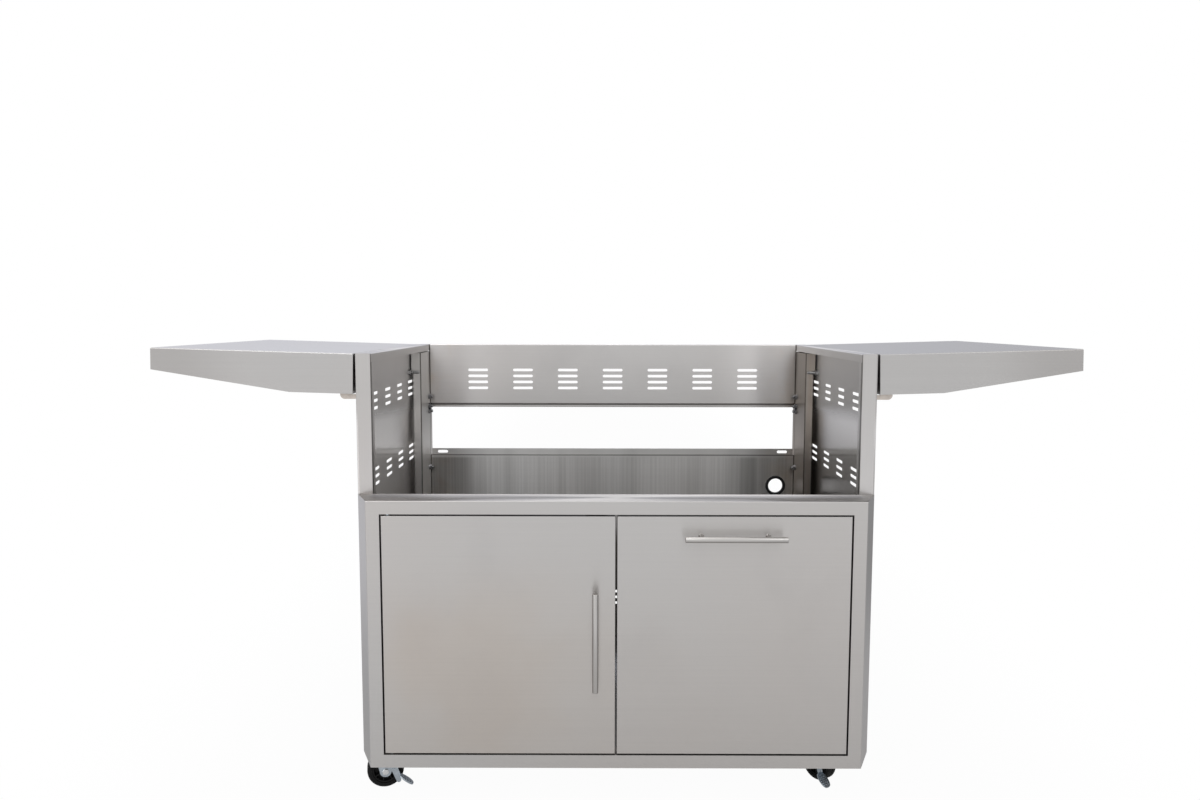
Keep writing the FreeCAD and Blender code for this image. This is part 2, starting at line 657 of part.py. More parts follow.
def handle(name, axis, x, z):
    """Bar of a handle and the two posts that carry it."""
    along = {"X": (1, 0), "Z": (0, 1)}[axis]
    start_x = "%s - %d * handle_length / 2" % (x, along[0])
    start_z = "%s - %d * handle_length / 2" % (z, along[1])
    bar = ("handle_diameter / 2", "handle_length", start_x, "handle_y", start_z, axis)
    keep(cylinder(name + "_bar", *bar))
    posts = []
    for sign in (-1, 1):
        post_x = "%s + %d * handle_post_spacing / 2" % (x, sign * along[0])
        post_z = "%s + %d * handle_post_spacing / 2" % (z, sign * along[1])
        tag = "%s_%s" % (name, "low" if sign < 0 else "high")
        rod = cylinder(tag + "_rod", "handle_post_diameter / 2", "handle_stand", post_x, "handle_y", post_z,
                       "Y")
        posts.append(cut(tag + "_post", rod, cylinder(tag + "_seat", *bar)))
    group(name + "_posts", posts)


door = leaf("door_panel", "-leaf_outer", "-leaf_inner")
hinge_hole = ("hinge_x", "hinge_y", "bush_radius")
pocket(door, "XY", "door_low", "door_low + gauge", hinge_hole)
pocket(door, "XY", "door_top - gauge", "door_top", hinge_hole)
round_edges(door, "bend / 2", front_edge)
liner("door_liner", "-leaf_outer", "-leaf_inner")
handle("door_handle", "Z", "-leaf_inner - handle_inset", "door_top - door_handle_drop")

drawer = leaf("drawer_front", "leaf_inner", "leaf_outer")
round_edges(drawer, "bend / 2", front_edge)
liner("drawer_liner", "leaf_inner", "leaf_outer")
handle("drawer_handle", "X", "leaf_mid", "door_top - handle_inset")

# Hinge pins stand in the opening's edge and turn in bushes set in the door.
hinge_pins = []
bushes = []
for tag, start, bush_start in (("low", "opening_low", "door_low"),
                               ("high", "door_top - hinge_reach", "door_top - hinge_reach")):
    hinge_pins.append(cylinder("hinge_pin_" + tag, "hinge_pin / 2", "door_gap + hinge_reach", "hinge_x",
                               "hinge_y", start, "Z"))
    bush_spot = ("hinge_reach", "hinge_x", "hinge_y", bush_start, "Z")
    ring = cylinder("bush_ring_" + tag, "bush_radius", *bush_spot)
    bore = cylinder("bush_bore_" + tag, "hinge_pin / 2 + running_gap", *bush_spot)
    bushes.append(cut("bush_" + tag, ring, bore))
group("hinge_pins", hinge_pins)
group("hinge_bushes", bushes)

catch_x = "-leaf_inner - handle_inset - catch_width / 2"
catch_y = "door_back + strike_thickness + catch_gap"
keep(block("door_strike", catch_x, "door_back", "door_top - catch_height",
           "catch_width", "strike_thickness", "catch_height"))
keep(block("magnet_catch", catch_x, catch_y, "opening_top - catch_height",
           "catch_width", "catch_depth", "catch_height"))


# Tank drawer behind its front

tray = keep(new_body("tank_tray"))
tray_low = "leaf_mid - tray_half"
tray_high = "leaf_mid + tray_half"
tray_end = "door_back + tray_length"
pad(tray, "XY", "tray_z", "tray_z + tray_wall", rect(tray_low, tray_high, "door_back", tray_end))
pocket(tray, "XY", "tray_z + gauge", "tray_z + tray_wall",
       rect(tray_low + " + gauge", tray_high + " - gauge", "door_back + gauge", tray_end + " - gauge"))

ring_y = "door_back + tray_length / 2"
ring_spot = ("leaf_mid", ring_y, "tray_z + gauge", "Z")
keep(cut("tank_ring", cylinder("ring_body", "ring_diameter / 2", "ring_height", *ring_spot),
         cylinder("ring_bore", "ring_diameter / 2 - ring_wall", "ring_height", *ring_spot)))

braces = []
for tag, start in (("low", tray_low + " + gauge"), ("high", tray_high + " - gauge - brace_thickness")):
    brace = new_body("brace_" + tag)
    foot = "tray_z + gauge"
    pad(brace, "YZ", start, start + " + brace_thickness",
        [("door_back + gauge", foot), ("door_back + gauge", "tray_z + tray_wall"),
         ("door_back", "tray_z + tray_wall"), ("door_back", foot + " + brace_rise"),
         ("door_back + brace_top", foot + " + brace_rise"),
         ("door_back + brace_length", foot + " + brace_toe"), ("door_back + brace_length", foot)])
    braces.append(brace)
group("drawer_braces", braces)


# Telescopic slides: nested channels, the outer ones on brackets, the inner ones on the tray

def beside_drawer(sign, profile):
    """Profile on one side of the drawer, drawn as distances from the drawer's middle."""
    return [("leaf_mid + %d * (%s)" % (sign, u), v) for u, v in profile]


def channel(label, sign, web, lip, low, top, start, length):
    """Channel along Y with its web at one side of the drawer."""
    body = new_body(label)
    inside = web + (" + rail_gauge" if value(lip) > value(web) else " - rail_gauge")
    floor = low + " + rail_gauge"
    roof = top + " - rail_gauge"
    profile = [(web, low), (lip, low), (lip, floor), (inside, floor),
               (inside, roof), (lip, roof), (lip, top), (web, top)]
    pad(body, "XZ", start, "%s + %s" % (start, length), beside_drawer(sign, profile))
    return body


outer_rails = []
middle_rails = []
inner_rails = []
feet = []
once = " (rail_gauge + rail_gap)"
twice = " 2 * (rail_gauge + rail_gap)"
rail_top = "rail_z + rail_height"
rail_run = ("rail_y", "rail_length")
for tag, sign in (("low", -1), ("high", 1)):
    outer_rails.append(channel("outer_rail_" + tag, sign, "rail_back", "rail_back - rail_width",
                               "rail_z", rail_top, *rail_run))
    middle_rails.append(channel("middle_rail_" + tag, sign, "rail_back -" + once, "rail_back - rail_width",
                                "rail_z +" + once, rail_top + " -" + once, *rail_run))
    inner_rails.append(channel("inner_rail_" + tag, sign, "tray_half", "rail_back -" + twice,
                               "rail_z +" + twice, rail_top + " -" + twice, *rail_run))
    foot = new_body("slide_foot_" + tag)
    profile = [("rail_back", "floor_top"), ("rail_back + foot_width", "floor_top"),
               ("rail_back + foot_width", "floor_top + foot_gauge"),
               ("rail_back + foot_gauge", "floor_top + foot_gauge"),
               ("rail_back + foot_gauge", rail_top), ("rail_back", rail_top)]
    pad(foot, "XZ", "rail_y", "rail_y + rail_length", beside_drawer(sign, profile))
    feet.append(foot)
group("slide_outer_rails", outer_rails)
group("slide_middle_rails", middle_rails)
group("slide_inner_rails", inner_rails)
group("slide_brackets", feet)


# Fold-down shelves, drawn about their pivots, and the brackets that carry them

def outermost(edge, tip):
    """Edges of the shelf's top that are outside the pan."""
    box = edge.BoundBox
    return (near(box.YMin, box.YMax, 0) or near(box.YMin, box.YMax, value("shelf_depth"))
            or near(box.XMin, box.XMax, value(tip)))


def lean(body, sign):
    """Put a piece drawn about the pivot at the pivot, tilted up at its outer end."""
    body.Placement = FreeCAD.Placement(FreeCAD.Vector(), FreeCAD.Rotation(FreeCAD.Vector(0, -sign, 0), 1))
    set_place(body, side_of(sign, "pivot_x"), "post_y", "pivot_z")
    bind(body, "Placement.Rotation.Angle", "shelf_tilt * 1 deg")


def shelf(side, sign):
    body = keep(new_body(side + "_shelf"))
    low = "-pivot_up"
    high = "shelf_height - pivot_up"
    outline = [("shelf_in", low), ("shelf_in + shelf_flat", low), ("shelf_out", high + " - shelf_tip"),
               ("shelf_out", high), ("shelf_in", high)]
    pad(body, "XZ", "0", "shelf_depth", [(side_of(sign, u), v) for u, v in outline])
    start, end = span(sign, "shelf_in + gauge", "shelf_out - gauge")
    pocket(body, "XZ", "gauge", "shelf_depth - gauge", rect(start, end, low + " - 1", high + " - gauge"))
    tip = side_of(sign, "shelf_out")
    round_edges(body, "bend", lambda e: on(e, z=high) and outermost(e, tip))
    lean(body, sign)
    pins = []
    for tag, start in (("front", "gauge"), ("rear", "shelf_depth - gauge - pivot_reach")):
        pin = new_body("%s_pin_%s" % (side, tag))
        pad(pin, "XZ", start, start + " + pivot_reach", ("0", "0", "pivot_pin / 2"))
        lean(pin, sign)
        pins.append(pin)
    group(side + "_shelf_pins", pins)
    plates = []
    for tag, start in (("front", "gauge + bracket_inset"),
                       ("rear", "shelf_depth - gauge - bracket_inset - bracket_gauge")):
        plate = new_body("%s_bracket_%s" % (side, tag))
        foot = "-pivot_up - bracket_drop"
        knee = "-pivot_up - bracket_clear"
        reach = "bracket_reach - pivot_out"
        shoulder = "bracket_head - bracket_crest"
        outline = [("-pivot_out", foot), (reach, foot), (reach, shoulder), ("bracket_crest", "bracket_head"),
                   ("-bracket_crest", "bracket_head"), ("-bracket_back", shoulder), ("-bracket_back", knee),
                   ("-pivot_out", knee)]
        pad(plate, "XZ", start, start + " + bracket_gauge", [(side_of(sign, u), v) for u, v in outline])
        pocket(plate, "XZ", start, start + " + bracket_gauge", ("0", "0", "pivot_pin / 2 + running_gap"))
        corner = side_of(sign, reach)
        round_edges(plate, "bracket_round", lambda e: on(e, x=corner, z=foot))
        set_place(plate, side_of(sign, "pivot_x"), "post_y", "pivot_z")
        plates.append(plate)
    group(side + "_shelf_brackets", plates)


shelf("left", -1)
shelf("right", 1)


# Casters, drawn about their swivel axes with the wheel towards -X

def stand(body, x, y, turn):
    body.Placement = FreeCAD.Placement(FreeCAD.Vector(), FreeCAD.Rotation(FreeCAD.Vector(0, 0, 1), 1))
    set_place(body, x, y, "0")
    bind(body, "Placement.Rotation.Angle", turn + " * 1 deg")


def caster(tag, x, y, braked):
    turn = "turn_" + tag
    axle_spot = ("-caster_trail", "axle_z")
    fork = keep(new_body(tag + "_fork"))
    pad(fork, "XZ", "-fork_half", "fork_half",
        [("-caster_trail - fork_rear", "crown_top"), ("-caster_trail - axle_boss / 2", "axle_z"),
         ("axle_boss / 2 - caster_trail", "axle_z"), ("fork_front", "crown_top - fork_cheek"),
         ("fork_front", "crown_top")])
    pad(fork, "XZ", "-fork_half", "fork_half", axle_spot + ("axle_boss / 2",))
    pocket(fork, "XZ", "fork_gauge - fork_half", "fork_half - fork_gauge",
           rect("-caster_trail - wheel_diameter", "wheel_diameter", "0", "crown_low"))
    pocket(fork, "XZ", "-fork_half", "fork_half", axle_spot + ("axle_diameter / 2",))
    pocket(fork, "XY", "crown_low", "crown_top", ("0", "0", "kingpin_diameter / 2 + running_gap"))
    arm = "fork_half + swivel_gap"
    arm_end = arm + " + pedal_gauge"
    pedal_spot = ("-pedal_lag", "pedal_z")
    if braked:
        pad(fork, "XZ", "-(%s)" % arm_end, "-fork_half", pedal_spot + ("pedal_pin / 2",))
    stand(fork, x, y, turn)

    axle = keep(new_body(tag + "_axle"))
    pad(axle, "XZ", "-fork_half", "fork_half", axle_spot + ("axle_diameter / 2",))
    pad(axle, "XZ", "fork_half", "fork_half + head_height", axle_spot + ("axle_head / 2",))
    pad(axle, "XZ", "-fork_half - head_height", "-fork_half", axle_spot + ("axle_head / 2",))
    stand(axle, x, y, turn)

    bore = axle_spot + ("axle_diameter / 2 + running_gap",)
    core = "wheel_diameter / 2 - tyre_depth"
    wheel = keep(new_body(tag + "_wheel"))
    web = "wheel_width / 2 - core_inset"
    hub = "wheel_width / 2 + fork_gap - hub_gap"
    pad(wheel, "XZ", "-(%s)" % web, web, axle_spot + (core,), bore)
    pad(wheel, "XZ", "-(%s)" % hub, hub, axle_spot + ("hub_diameter / 2",), bore)
    stand(wheel, x, y, turn)

    tyre = keep(new_body(tag + "_tyre"))
    pad(tyre, "XZ", "-wheel_width / 2", "wheel_width / 2", axle_spot + ("wheel_diameter / 2",),
        axle_spot + (core,))
    round_edges(tyre, "tyre_round", lambda e: e.BoundBox.ZLength > value("wheel_diameter") - 1e-3
                and e.BoundBox.XLength > value("wheel_diameter") - 1e-3)
    stand(tyre, x, y, turn)

    if braked:
        pedal = keep(new_body(tag + "_pedal"))
        knee = [("tread_run - pedal_knee", "axle_z - pedal_knee_drop + tread_rise"),
                ("-pedal_knee", "axle_z - pedal_knee_drop")]
        tip = [("pedal_tip", "pedal_tip_height"),
               ("pedal_tip + tread_rise", "pedal_tip_height + tread_rise")]
        ears = [("-pedal_lag - pedal_ear", "pedal_z"), ("-pedal_lag", "pedal_z + pedal_ear"),
                ("pedal_ear - pedal_lag", "pedal_z")]
        toe = [("-pedal_knee", "pedal_toe_height"), ("-pedal_knee - pedal_ear", "pedal_toe_height")]
        pad(pedal, "XZ", "-(%s) - tread_reach" % arm_end, "-(%s)" % arm, knee + tip)
        pad(pedal, "XZ", "-(%s)" % arm_end, "-(%s)" % arm, ears + knee[:1] + toe)
        pocket(pedal, "XZ", "-(%s)" % arm_end, "-(%s)" % arm, pedal_spot + ("pedal_pin / 2 + running_gap",))
        stand(pedal, x, y, turn)

    plate = block(tag + "_plate", "%s - plate_length / 2" % x, "%s - plate_breadth / 2" % y, "plate_low",
                  "plate_length", "plate_breadth", "plate_gauge")
    kingpin = fuse(tag + "_kingpin", [
        cylinder(tag + "_race", "race_diameter / 2", "race_height", x, y, "plate_low - race_height", "Z"),
        cylinder(tag + "_pin", "kingpin_diameter / 2", "plate_low - crown_low", x, y, "crown_low", "Z"),
        cylinder(tag + "_head", "kingpin_head / 2", "head_height", x, y,
                 "crown_low - swivel_gap - head_height", "Z"),
        cylinder(tag + "_neck", "kingpin_diameter / 2", "swivel_gap", x, y, "crown_low - swivel_gap", "Z")])
    heads = []
    for number, (i, j) in enumerate(((-1, -1), (1, -1), (1, 1), (-1, 1))):
        screw_x = "%s + %d * (plate_length / 2 - screw_inset)" % (x, i)
        screw_y = "%s + %d * (plate_breadth / 2 - screw_inset)" % (y, j)
        heads.append(cylinder("%s_screw_%d" % (tag, number), "screw_diameter / 2", "screw_height",
                              screw_x, screw_y, "plate_low - screw_height", "Z"))
    return plate, kingpin, heads


plates = []
kingpins = []
screws = []
for tag, x, y, braked in (("front_left", "-caster_x", "caster_front", True),
                          ("front_right", "caster_x", "caster_front", True),
                          ("rear_left", "-caster_x", "caster_rear", False),
                          ("rear_right", "caster_x", "caster_rear", False)):
    plate, kingpin, heads = caster(tag, x, y, braked)
    plates.append(plate)
    kingpins.append(kingpin)
    screws += heads
group("caster_plates", plates)
group("caster_kingpins", kingpins)
group("caster_screws", screws)

# Check every object, then write one file per piece.
doc.recompute()
bad = [thing.Label for thing in doc.Objects if "Invalid" in thing.State or "Error" in thing.State]
bad += [thing.Label for thing in PARTS if not thing.Shape.isValid() or not thing.Shape.Solids]
if bad:
    raise RuntimeError("pieces that failed: " + ", ".join(bad))
os.makedirs("parts", exist_ok=True)
for thing in PARTS:
    thing.Shape.exportStep("parts/%s.step" % thing.Label)
print("%d pieces written" % len(PARTS))
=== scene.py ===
import json
import math

import bmesh
import bpy
from mathutils import Matrix, Vector


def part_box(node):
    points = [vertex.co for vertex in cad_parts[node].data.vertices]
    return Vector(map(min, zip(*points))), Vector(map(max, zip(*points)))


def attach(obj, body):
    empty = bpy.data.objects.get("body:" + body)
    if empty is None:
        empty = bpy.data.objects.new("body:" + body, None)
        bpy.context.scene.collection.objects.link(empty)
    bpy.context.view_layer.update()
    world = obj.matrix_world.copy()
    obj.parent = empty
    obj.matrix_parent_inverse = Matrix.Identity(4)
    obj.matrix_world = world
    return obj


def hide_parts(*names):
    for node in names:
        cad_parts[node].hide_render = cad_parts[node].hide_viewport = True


# Griddle cart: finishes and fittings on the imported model, in metres. X is right, Y is back, Z is up.

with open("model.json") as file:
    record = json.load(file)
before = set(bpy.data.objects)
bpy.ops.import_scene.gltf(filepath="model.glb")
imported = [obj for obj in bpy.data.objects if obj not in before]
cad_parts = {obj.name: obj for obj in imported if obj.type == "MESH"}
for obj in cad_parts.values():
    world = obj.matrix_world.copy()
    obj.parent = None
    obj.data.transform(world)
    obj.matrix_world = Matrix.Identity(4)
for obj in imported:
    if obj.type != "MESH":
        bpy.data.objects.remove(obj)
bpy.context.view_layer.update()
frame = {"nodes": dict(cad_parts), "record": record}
nodes = frame["nodes"]
joints = {seam_shade["name"]: seam_shade for seam_shade in frame["record"]["behaviour"]["joints"]}

CASTERS = ("front_left", "front_right", "rear_left", "rear_right")
UP = Vector((0, 0, 1))
SHEET_WALL = 0.0012
LIP_DROP = 0.0186
LEAF_GAP = 0.0035
SHARP_EDGE = math.radians(35)
MERGE_DISTANCE = 1e-6
LEVEL_FROM, LEVEL_FULL = 0.6, 0.8


# Node trees and maths on their values

class Field:
    """A value in a node tree; arithmetic on it adds Math nodes."""

    def __init__(self, owner, socket):
        self.owner = owner
        self.socket = socket

    def math(self, operation, *terms):
        node = self.owner.node("ShaderNodeMath", {"operation": operation}, dict(enumerate(terms)))
        return Field(self.owner, node.outputs[0])

    def __add__(self, other):
        return self.math("ADD", self, other)

    def __radd__(self, other):
        return self.math("ADD", other, self)

    def __sub__(self, other):
        return self.math("SUBTRACT", self, other)

    def __rsub__(self, other):
        return self.math("SUBTRACT", other, self)

    def __mul__(self, other):
        return self.math("MULTIPLY", self, other)

    def __rmul__(self, other):
        return self.math("MULTIPLY", other, self)

    def __truediv__(self, other):
        return self.math("DIVIDE", self, other)

    def __abs__(self):
        return self.math("ABSOLUTE", self)

    def step(self, low, high):
        """0 below low, 1 above high, smooth between; high may lie below low."""
        node = self.owner.node("ShaderNodeMapRange", {"interpolation_type": "SMOOTHSTEP"},
                               {"Value": self, "From Min": low, "From Max": high})
        return Field(self.owner, node.outputs[0])


class Tree:
    """A node tree, emptied and then filled by one method."""

    def __init__(self, tree):
        self.tree = tree
        self.tree.nodes.clear()

    def node(self, kind, settings=None, sockets=None):
        node = self.tree.nodes.new(kind)
        for name, setting in (settings or {}).items():
            setattr(node, name, setting)
        for name, given in (sockets or {}).items():
            self.feed(node.inputs[name], given)
        return node

    def feed(self, socket, given):
        if isinstance(given, Field):
            given = given.socket
        if isinstance(given, bpy.types.NodeSocket):
            self.tree.links.new(given, socket)
        else:
            socket.default_value = given

    def vector(self, x=0.0, y=0.0, z=0.0):
        return self.node("ShaderNodeCombineXYZ", {}, {0: x, 1: y, 2: z}).outputs[0]


class Shader(Tree):
    """A tree for a surface or for the world."""

    def split(self, kind):
        """The three values of one kind of coordinates."""
        coordinates = self.node("ShaderNodeTexCoord")
        parts = self.node("ShaderNodeSeparateXYZ", {}, {0: coordinates.outputs[kind]})
        return [Field(self, parts.outputs[i]) for i in range(3)]

    def here(self):
        """Object coordinates as one vector."""
        return self.node("ShaderNodeTexCoord").outputs["Object"]

    def normal(self):
        """The way the surface faces, in object axes, as three values."""
        return self.split("Normal")

    def place(self):
        """Object coordinates as three values, and how level the surface is."""
        x, y, z = self.split("Object")
        level = abs(self.normal()[2]).step(LEVEL_FROM, LEVEL_FULL)
        return x, y, z, level

    def noise(self, vector, scale=1.0, detail=2.0, rough=0.5):
        node = self.node("ShaderNodeTexNoise", {}, {"Vector": vector, "Scale": scale, "Detail": detail,
                                                    "Roughness": rough})
        return Field(self, node.outputs[0])

    def mix(self, factor, first, second, blend="MIX"):
        node = self.node("ShaderNodeMix", {"data_type": "RGBA", "blend_type": blend},
                         {0: factor, 6: first, 7: second})
        return node.outputs[2]


class Finish(Shader):
    """One procedural material."""

    def __init__(self, name, **constants):
        self.material = bpy.data.materials.new(name)
        self.material.use_nodes = True
        super().__init__(self.material.node_tree)
        self.surface = self.node("ShaderNodeBsdfPrincipled", {}, constants)
        self.output = self.node("ShaderNodeOutputMaterial", {}, {"Surface": self.surface.outputs[0]})

    def set(self, name, given):
        self.feed(self.surface.inputs[name], given)

    def bump(self, height, strength, distance):
        node = self.node("ShaderNodeBump", {}, {"Height": height, "Strength": strength, "Distance": distance})
        self.set("Normal", node.outputs[0])


def rgb(red, green, blue, gain=1.0):
    return (red * gain, green * gain, blue * gain, 1.0)


# Stainless sheet: what each kind of mark multiplies its colour by, and the brushing along and across it

# The dark kind is painted shade with a few random streaks, the pale kind is painted light, and the warm kind
# is a real warm tint on most pieces and a painted warm reflection on the door and drawer front.
STAINS = {"painted_light": (1.45, 1.45, 1.46), "warm_tint": (0.95, 0.83, 0.71), "painted_shade_and_streaks": (0.20, 0.19, 0.18)}
LINES_ALONG, LINES_ACROSS = 5, 1100
BANDS_ALONG, BANDS_ACROSS = 1.3, 190
LINES_SHARE, BANDS_SHARE = 0.6, 0.4
BRUSHED_DARK, BRUSHED_PALE = 0.93, 1.06
WARM_CAST = (1.0, 0.955, 0.93)
WARM_SHARE = 0.35
SMUDGE_CAST = (0.94, 0.94, 0.95)
SMUDGE_SHARE = 0.35
GRAIN_ROUGHNESS = 0.16
SMUDGE_ROUGHNESS = 0.05
BRUSHED_STRENGTH = 0.12
BRUSHED_DEPTH = 0.0002
QUARTER_TURN = 0.25


def brushed_sheet(name, tone, roughness, smear, upright=False, marks=None):
    """Stainless sheet brushed level or upright: faint smudges, a warm and cool drift, and marks of painted
    shade, painted light and warm tint.
    """
    turn = 0.0 if upright else QUARTER_TURN
    finish = Finish(name, Metallic=1.0, Anisotropic=smear, **{"Anisotropic Rotation": turn})
    x, y, z, level = finish.place()
    across = x + y if upright else z + (y - z) * level
    along = z if upright else x + y * (1 - level)
    lines = finish.noise(finish.vector(along * LINES_ALONG, across * LINES_ACROSS, 0), detail=3.0, rough=0.6)
    bands = finish.noise(finish.vector(along * BANDS_ALONG, across * BANDS_ACROSS, 3))
    smudge = finish.noise(finish.here(), scale=4.5, detail=4.0, rough=0.6)
    drift = finish.noise(finish.vector(x, y * 0.6, z), scale=1.9, detail=1.0, rough=0.4).step(0.3, 0.7)
    grain = lines * LINES_SHARE + bands * BANDS_SHARE
    cool = finish.mix(grain, rgb(*tone, BRUSHED_DARK), rgb(*tone, BRUSHED_PALE))
    warm = finish.mix(WARM_SHARE, cool, rgb(*WARM_CAST), "MULTIPLY")
    tint = finish.mix(drift, cool, warm)
    dull = smudge.step(0.5, 0.78)
    colour = finish.mix(dull * SMUDGE_SHARE, tint, rgb(*SMUDGE_CAST), "MULTIPLY")
    rough = roughness + (grain - 0.5) * GRAIN_ROUGHNESS + dull * SMUDGE_ROUGHNESS
    if marks:
        found = marks(finish, x, y, z, level)
        for kind, stain in STAINS.items():
            if kind in found:
                colour = finish.mix(found[kind], colour, rgb(*stain), "MULTIPLY")
        rough = rough + found.get("rough", 0.0)
    finish.set("Base Color", colour)
    finish.set("Roughness", rough)
    finish.bump(grain, BRUSHED_STRENGTH, BRUSHED_DEPTH)
    return finish.material


def on_front(y, front):
    """1 on the foremost face of a piece."""
    return y.step(front + 0.002, front + 0.001)


def behind_front(y, front):
    """1 on the returns behind the foremost face."""
    return y.step(front + 0.001, front + 0.003)


def end_marks(finish, x, end):
    """Both ends of a back panel: painted shade along the seam, the stretch before it and warm tint patches.
    """
    patch = finish.noise(finish.here(), scale=11.0, detail=3.0, rough=0.6).step(0.42, 0.72)
    # Painted shade along the seam where the panel meets a column.
    seam_shade = abs(x).step(end - 0.0032, end - 0.0014)
    stretch = abs(x).step(end - 0.24, end - 0.02)
    warm_tint = abs(x).step(end - 0.12, end) * patch
    return seam_shade, stretch, warm_tint


def vent_marks(node):
    """Vent panel: painted shade in the hollow and along the bottom edge of the hem, and painted light towards
    its ends.
    """
    low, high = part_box(node)

    def marks(finish, x, y, z, level):
        seam_shade, stretch, warm_tint = end_marks(finish, x, high.x)
        # Painted shade in the hollow of the hem and along its bottom edge.
        trough_shade = y.step(low.y + 0.0015, low.y + 0.004) * z.step(low.z + 0.0125, low.z + 0.0105)
        edge = z.step(low.z + 0.0022, low.z + 0.0008)
        right_half = x.step(0.0, 0.2)
        # Painted light: a lift over the panel that grows towards the ends, most at the right.
        return {"painted_shade_and_streaks": seam_shade + trough_shade * 0.75 + edge * 0.6, "warm_tint": warm_tint * 0.4,
                "painted_light": 0.25 + stretch * (0.65 + right_half * 0.6)}

    return marks


def lower_back_marks(node):
    """Lower back panel: painted shade in a line under the strip, upright bands and streaks, painted dark
    reflections near both ends, painted light, and painted shade inside the cabinet.
    """
    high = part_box(node)[1]
    left_from, left_full = -0.385, -0.425
    right_middle = 0.387
    cabinet_from, cabinet_full = 0.45, 0.36

    def marks(finish, x, y, z, level):
        seam_shade, stretch, warm_tint = end_marks(finish, x, high.x)
        # Painted shade in a line under the strip.
        fold_shade = abs(z - high.z + LIP_DROP).step(0.0022, 0.0006)
        bands = finish.noise(finish.vector(x * 11, 0, z * 0.6)).step(0.36, 0.64)
        streak = finish.noise(finish.vector(x * 150, 0, z * 1.5), rough=0.6).step(0.35, 0.65)
        # Painted dark reflections: a darker left end and a dark band near the right end.
        left = x.step(left_from, left_full) * 0.4
        right = abs(x - right_middle).step(0.032, 0.012) * 0.3
        below = z.step(high.z - 0.018, high.z - 0.03)
        shade = (1 - bands) * (0.12 + stretch * 0.12) + streak * 0.12 + left + right
        # Painted shade on the panel's front face low inside the cabinet.
        cabinet = z.step(cabinet_from, cabinet_full) * finish.normal()[1].step(0.1, -0.1)
        # Painted light: a lift, most on the left half and on the paler bands.
        pale = 0.22 + x.step(0.1, -0.1) * 0.45 + bands * (0.3 - stretch * 0.2)
        return {"painted_shade_and_streaks": seam_shade + fold_shade * 0.8 + shade * below + cabinet * 0.85, "warm_tint": warm_tint * 0.7,
                "painted_light": pale * (1 - cabinet)}

    return marks


def column_marks(node, heat_level, web_shade, tab_shade):
    """Painted shade at the front corner and the seam of a rear column, on its web, near its head and on its
    front, painted light on its front and foot, with upright streaks of warm tint.
    """
    low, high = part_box(node)
    web = min(abs(low.x), abs(high.x))
    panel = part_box("vent_panel")[0].y

    def marks(finish, x, y, z, level):
        # Painted shade along the front corner and along the seam with the back panel.
        bend_shade = abs(x).step(web + 0.0034, web + 0.0016) * y.step(low.y + 0.0045, low.y + 0.002)
        seam_shade = y.step(panel - 0.0040, panel - 0.0016) * y.step(panel + 0.0030, panel + 0.0014)
        streak = finish.noise(finish.vector(x * 160, y * 160, z * 3)).step(0.3, 0.7)
        front = on_front(y, low.y)
        foot = z.step(high.z - 0.16, high.z - 0.26)
        head = y.step(panel - 0.035, panel - 0.006) * z.step(high.z - 0.16, high.z - 0.04)
        # Painted shade on the web, near the head and on the front above the foot; painted light on the front
        # and the foot.
        shade = (1 - front) * (web_shade + head * 0.45) + front * (1 - foot) * tab_shade
        return {"painted_shade_and_streaks": bend_shade * 0.8 + seam_shade + shade, "painted_light": front * 0.35 + foot,
                "warm_tint": heat_level * (0.5 + streak * 0.5)}

    return marks


def side_marks(node, low_shade, top_shade, lift):
    """Bay sides: polished inside, with painted shade behind the posts and where the top lips meet the back,
    painted shade low and high inside, and painted light on the rest of the inside and on the posts.
    """
    low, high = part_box(node)
    web = min(abs(low.x), abs(high.x))
    skin = max(abs(low.x), abs(high.x)) - SHEET_WALL
    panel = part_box("vent_panel")[0].y
    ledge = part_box("front_frame")[1].z
    lip_foot = high.z - LIP_DROP
    lip_soft = 0.001

    def marks(finish, x, y, z, level):
        inside = abs(x).step(skin + 0.0009, skin + 0.0003) * abs(x).step(skin - 0.003, skin - 0.001)
        under = z.step(lip_foot + lip_soft, lip_foot)
        # Painted shade in a line behind the post and under the top lips.
        post_line = under * y.step(low.y + 0.016, low.y + 0.011)
        top_line = (1 - under) * y.step(low.y + 0.009, low.y + 0.006)
        lip_shade = abs(x).step(web + 0.0026, web + 0.0016) * y.step(low.y + 0.0015, low.y + 0.004)
        lip_shade = lip_shade * (post_line + top_line)
        upper = (z + (y - low.y) * 0.06).step(high.z - 0.16, high.z - 0.115)
        # Painted shade where the top lips meet the back.
        corner = y.step(panel - 0.010, panel - 0.003) * y.step(panel + 0.003, panel + 0.001)
        corner = corner * z.step(lip_foot, lip_foot + lip_soft)
        # Painted shade low and high inside; painted light lifts the rest of the inside and the post faces.
        shade = inside * (z.step(ledge + 0.14, ledge + 0.03) * low_shade + upper * top_shade)
        post = on_front(y, low.y)
        return {"painted_shade_and_streaks": lip_shade * 0.8 + corner * 0.8 + shade, "painted_light": inside * (1 - upper) * lift + post * 0.22,
                "rough": inside * (upper * 0.16 - 0.13)}

    return marks


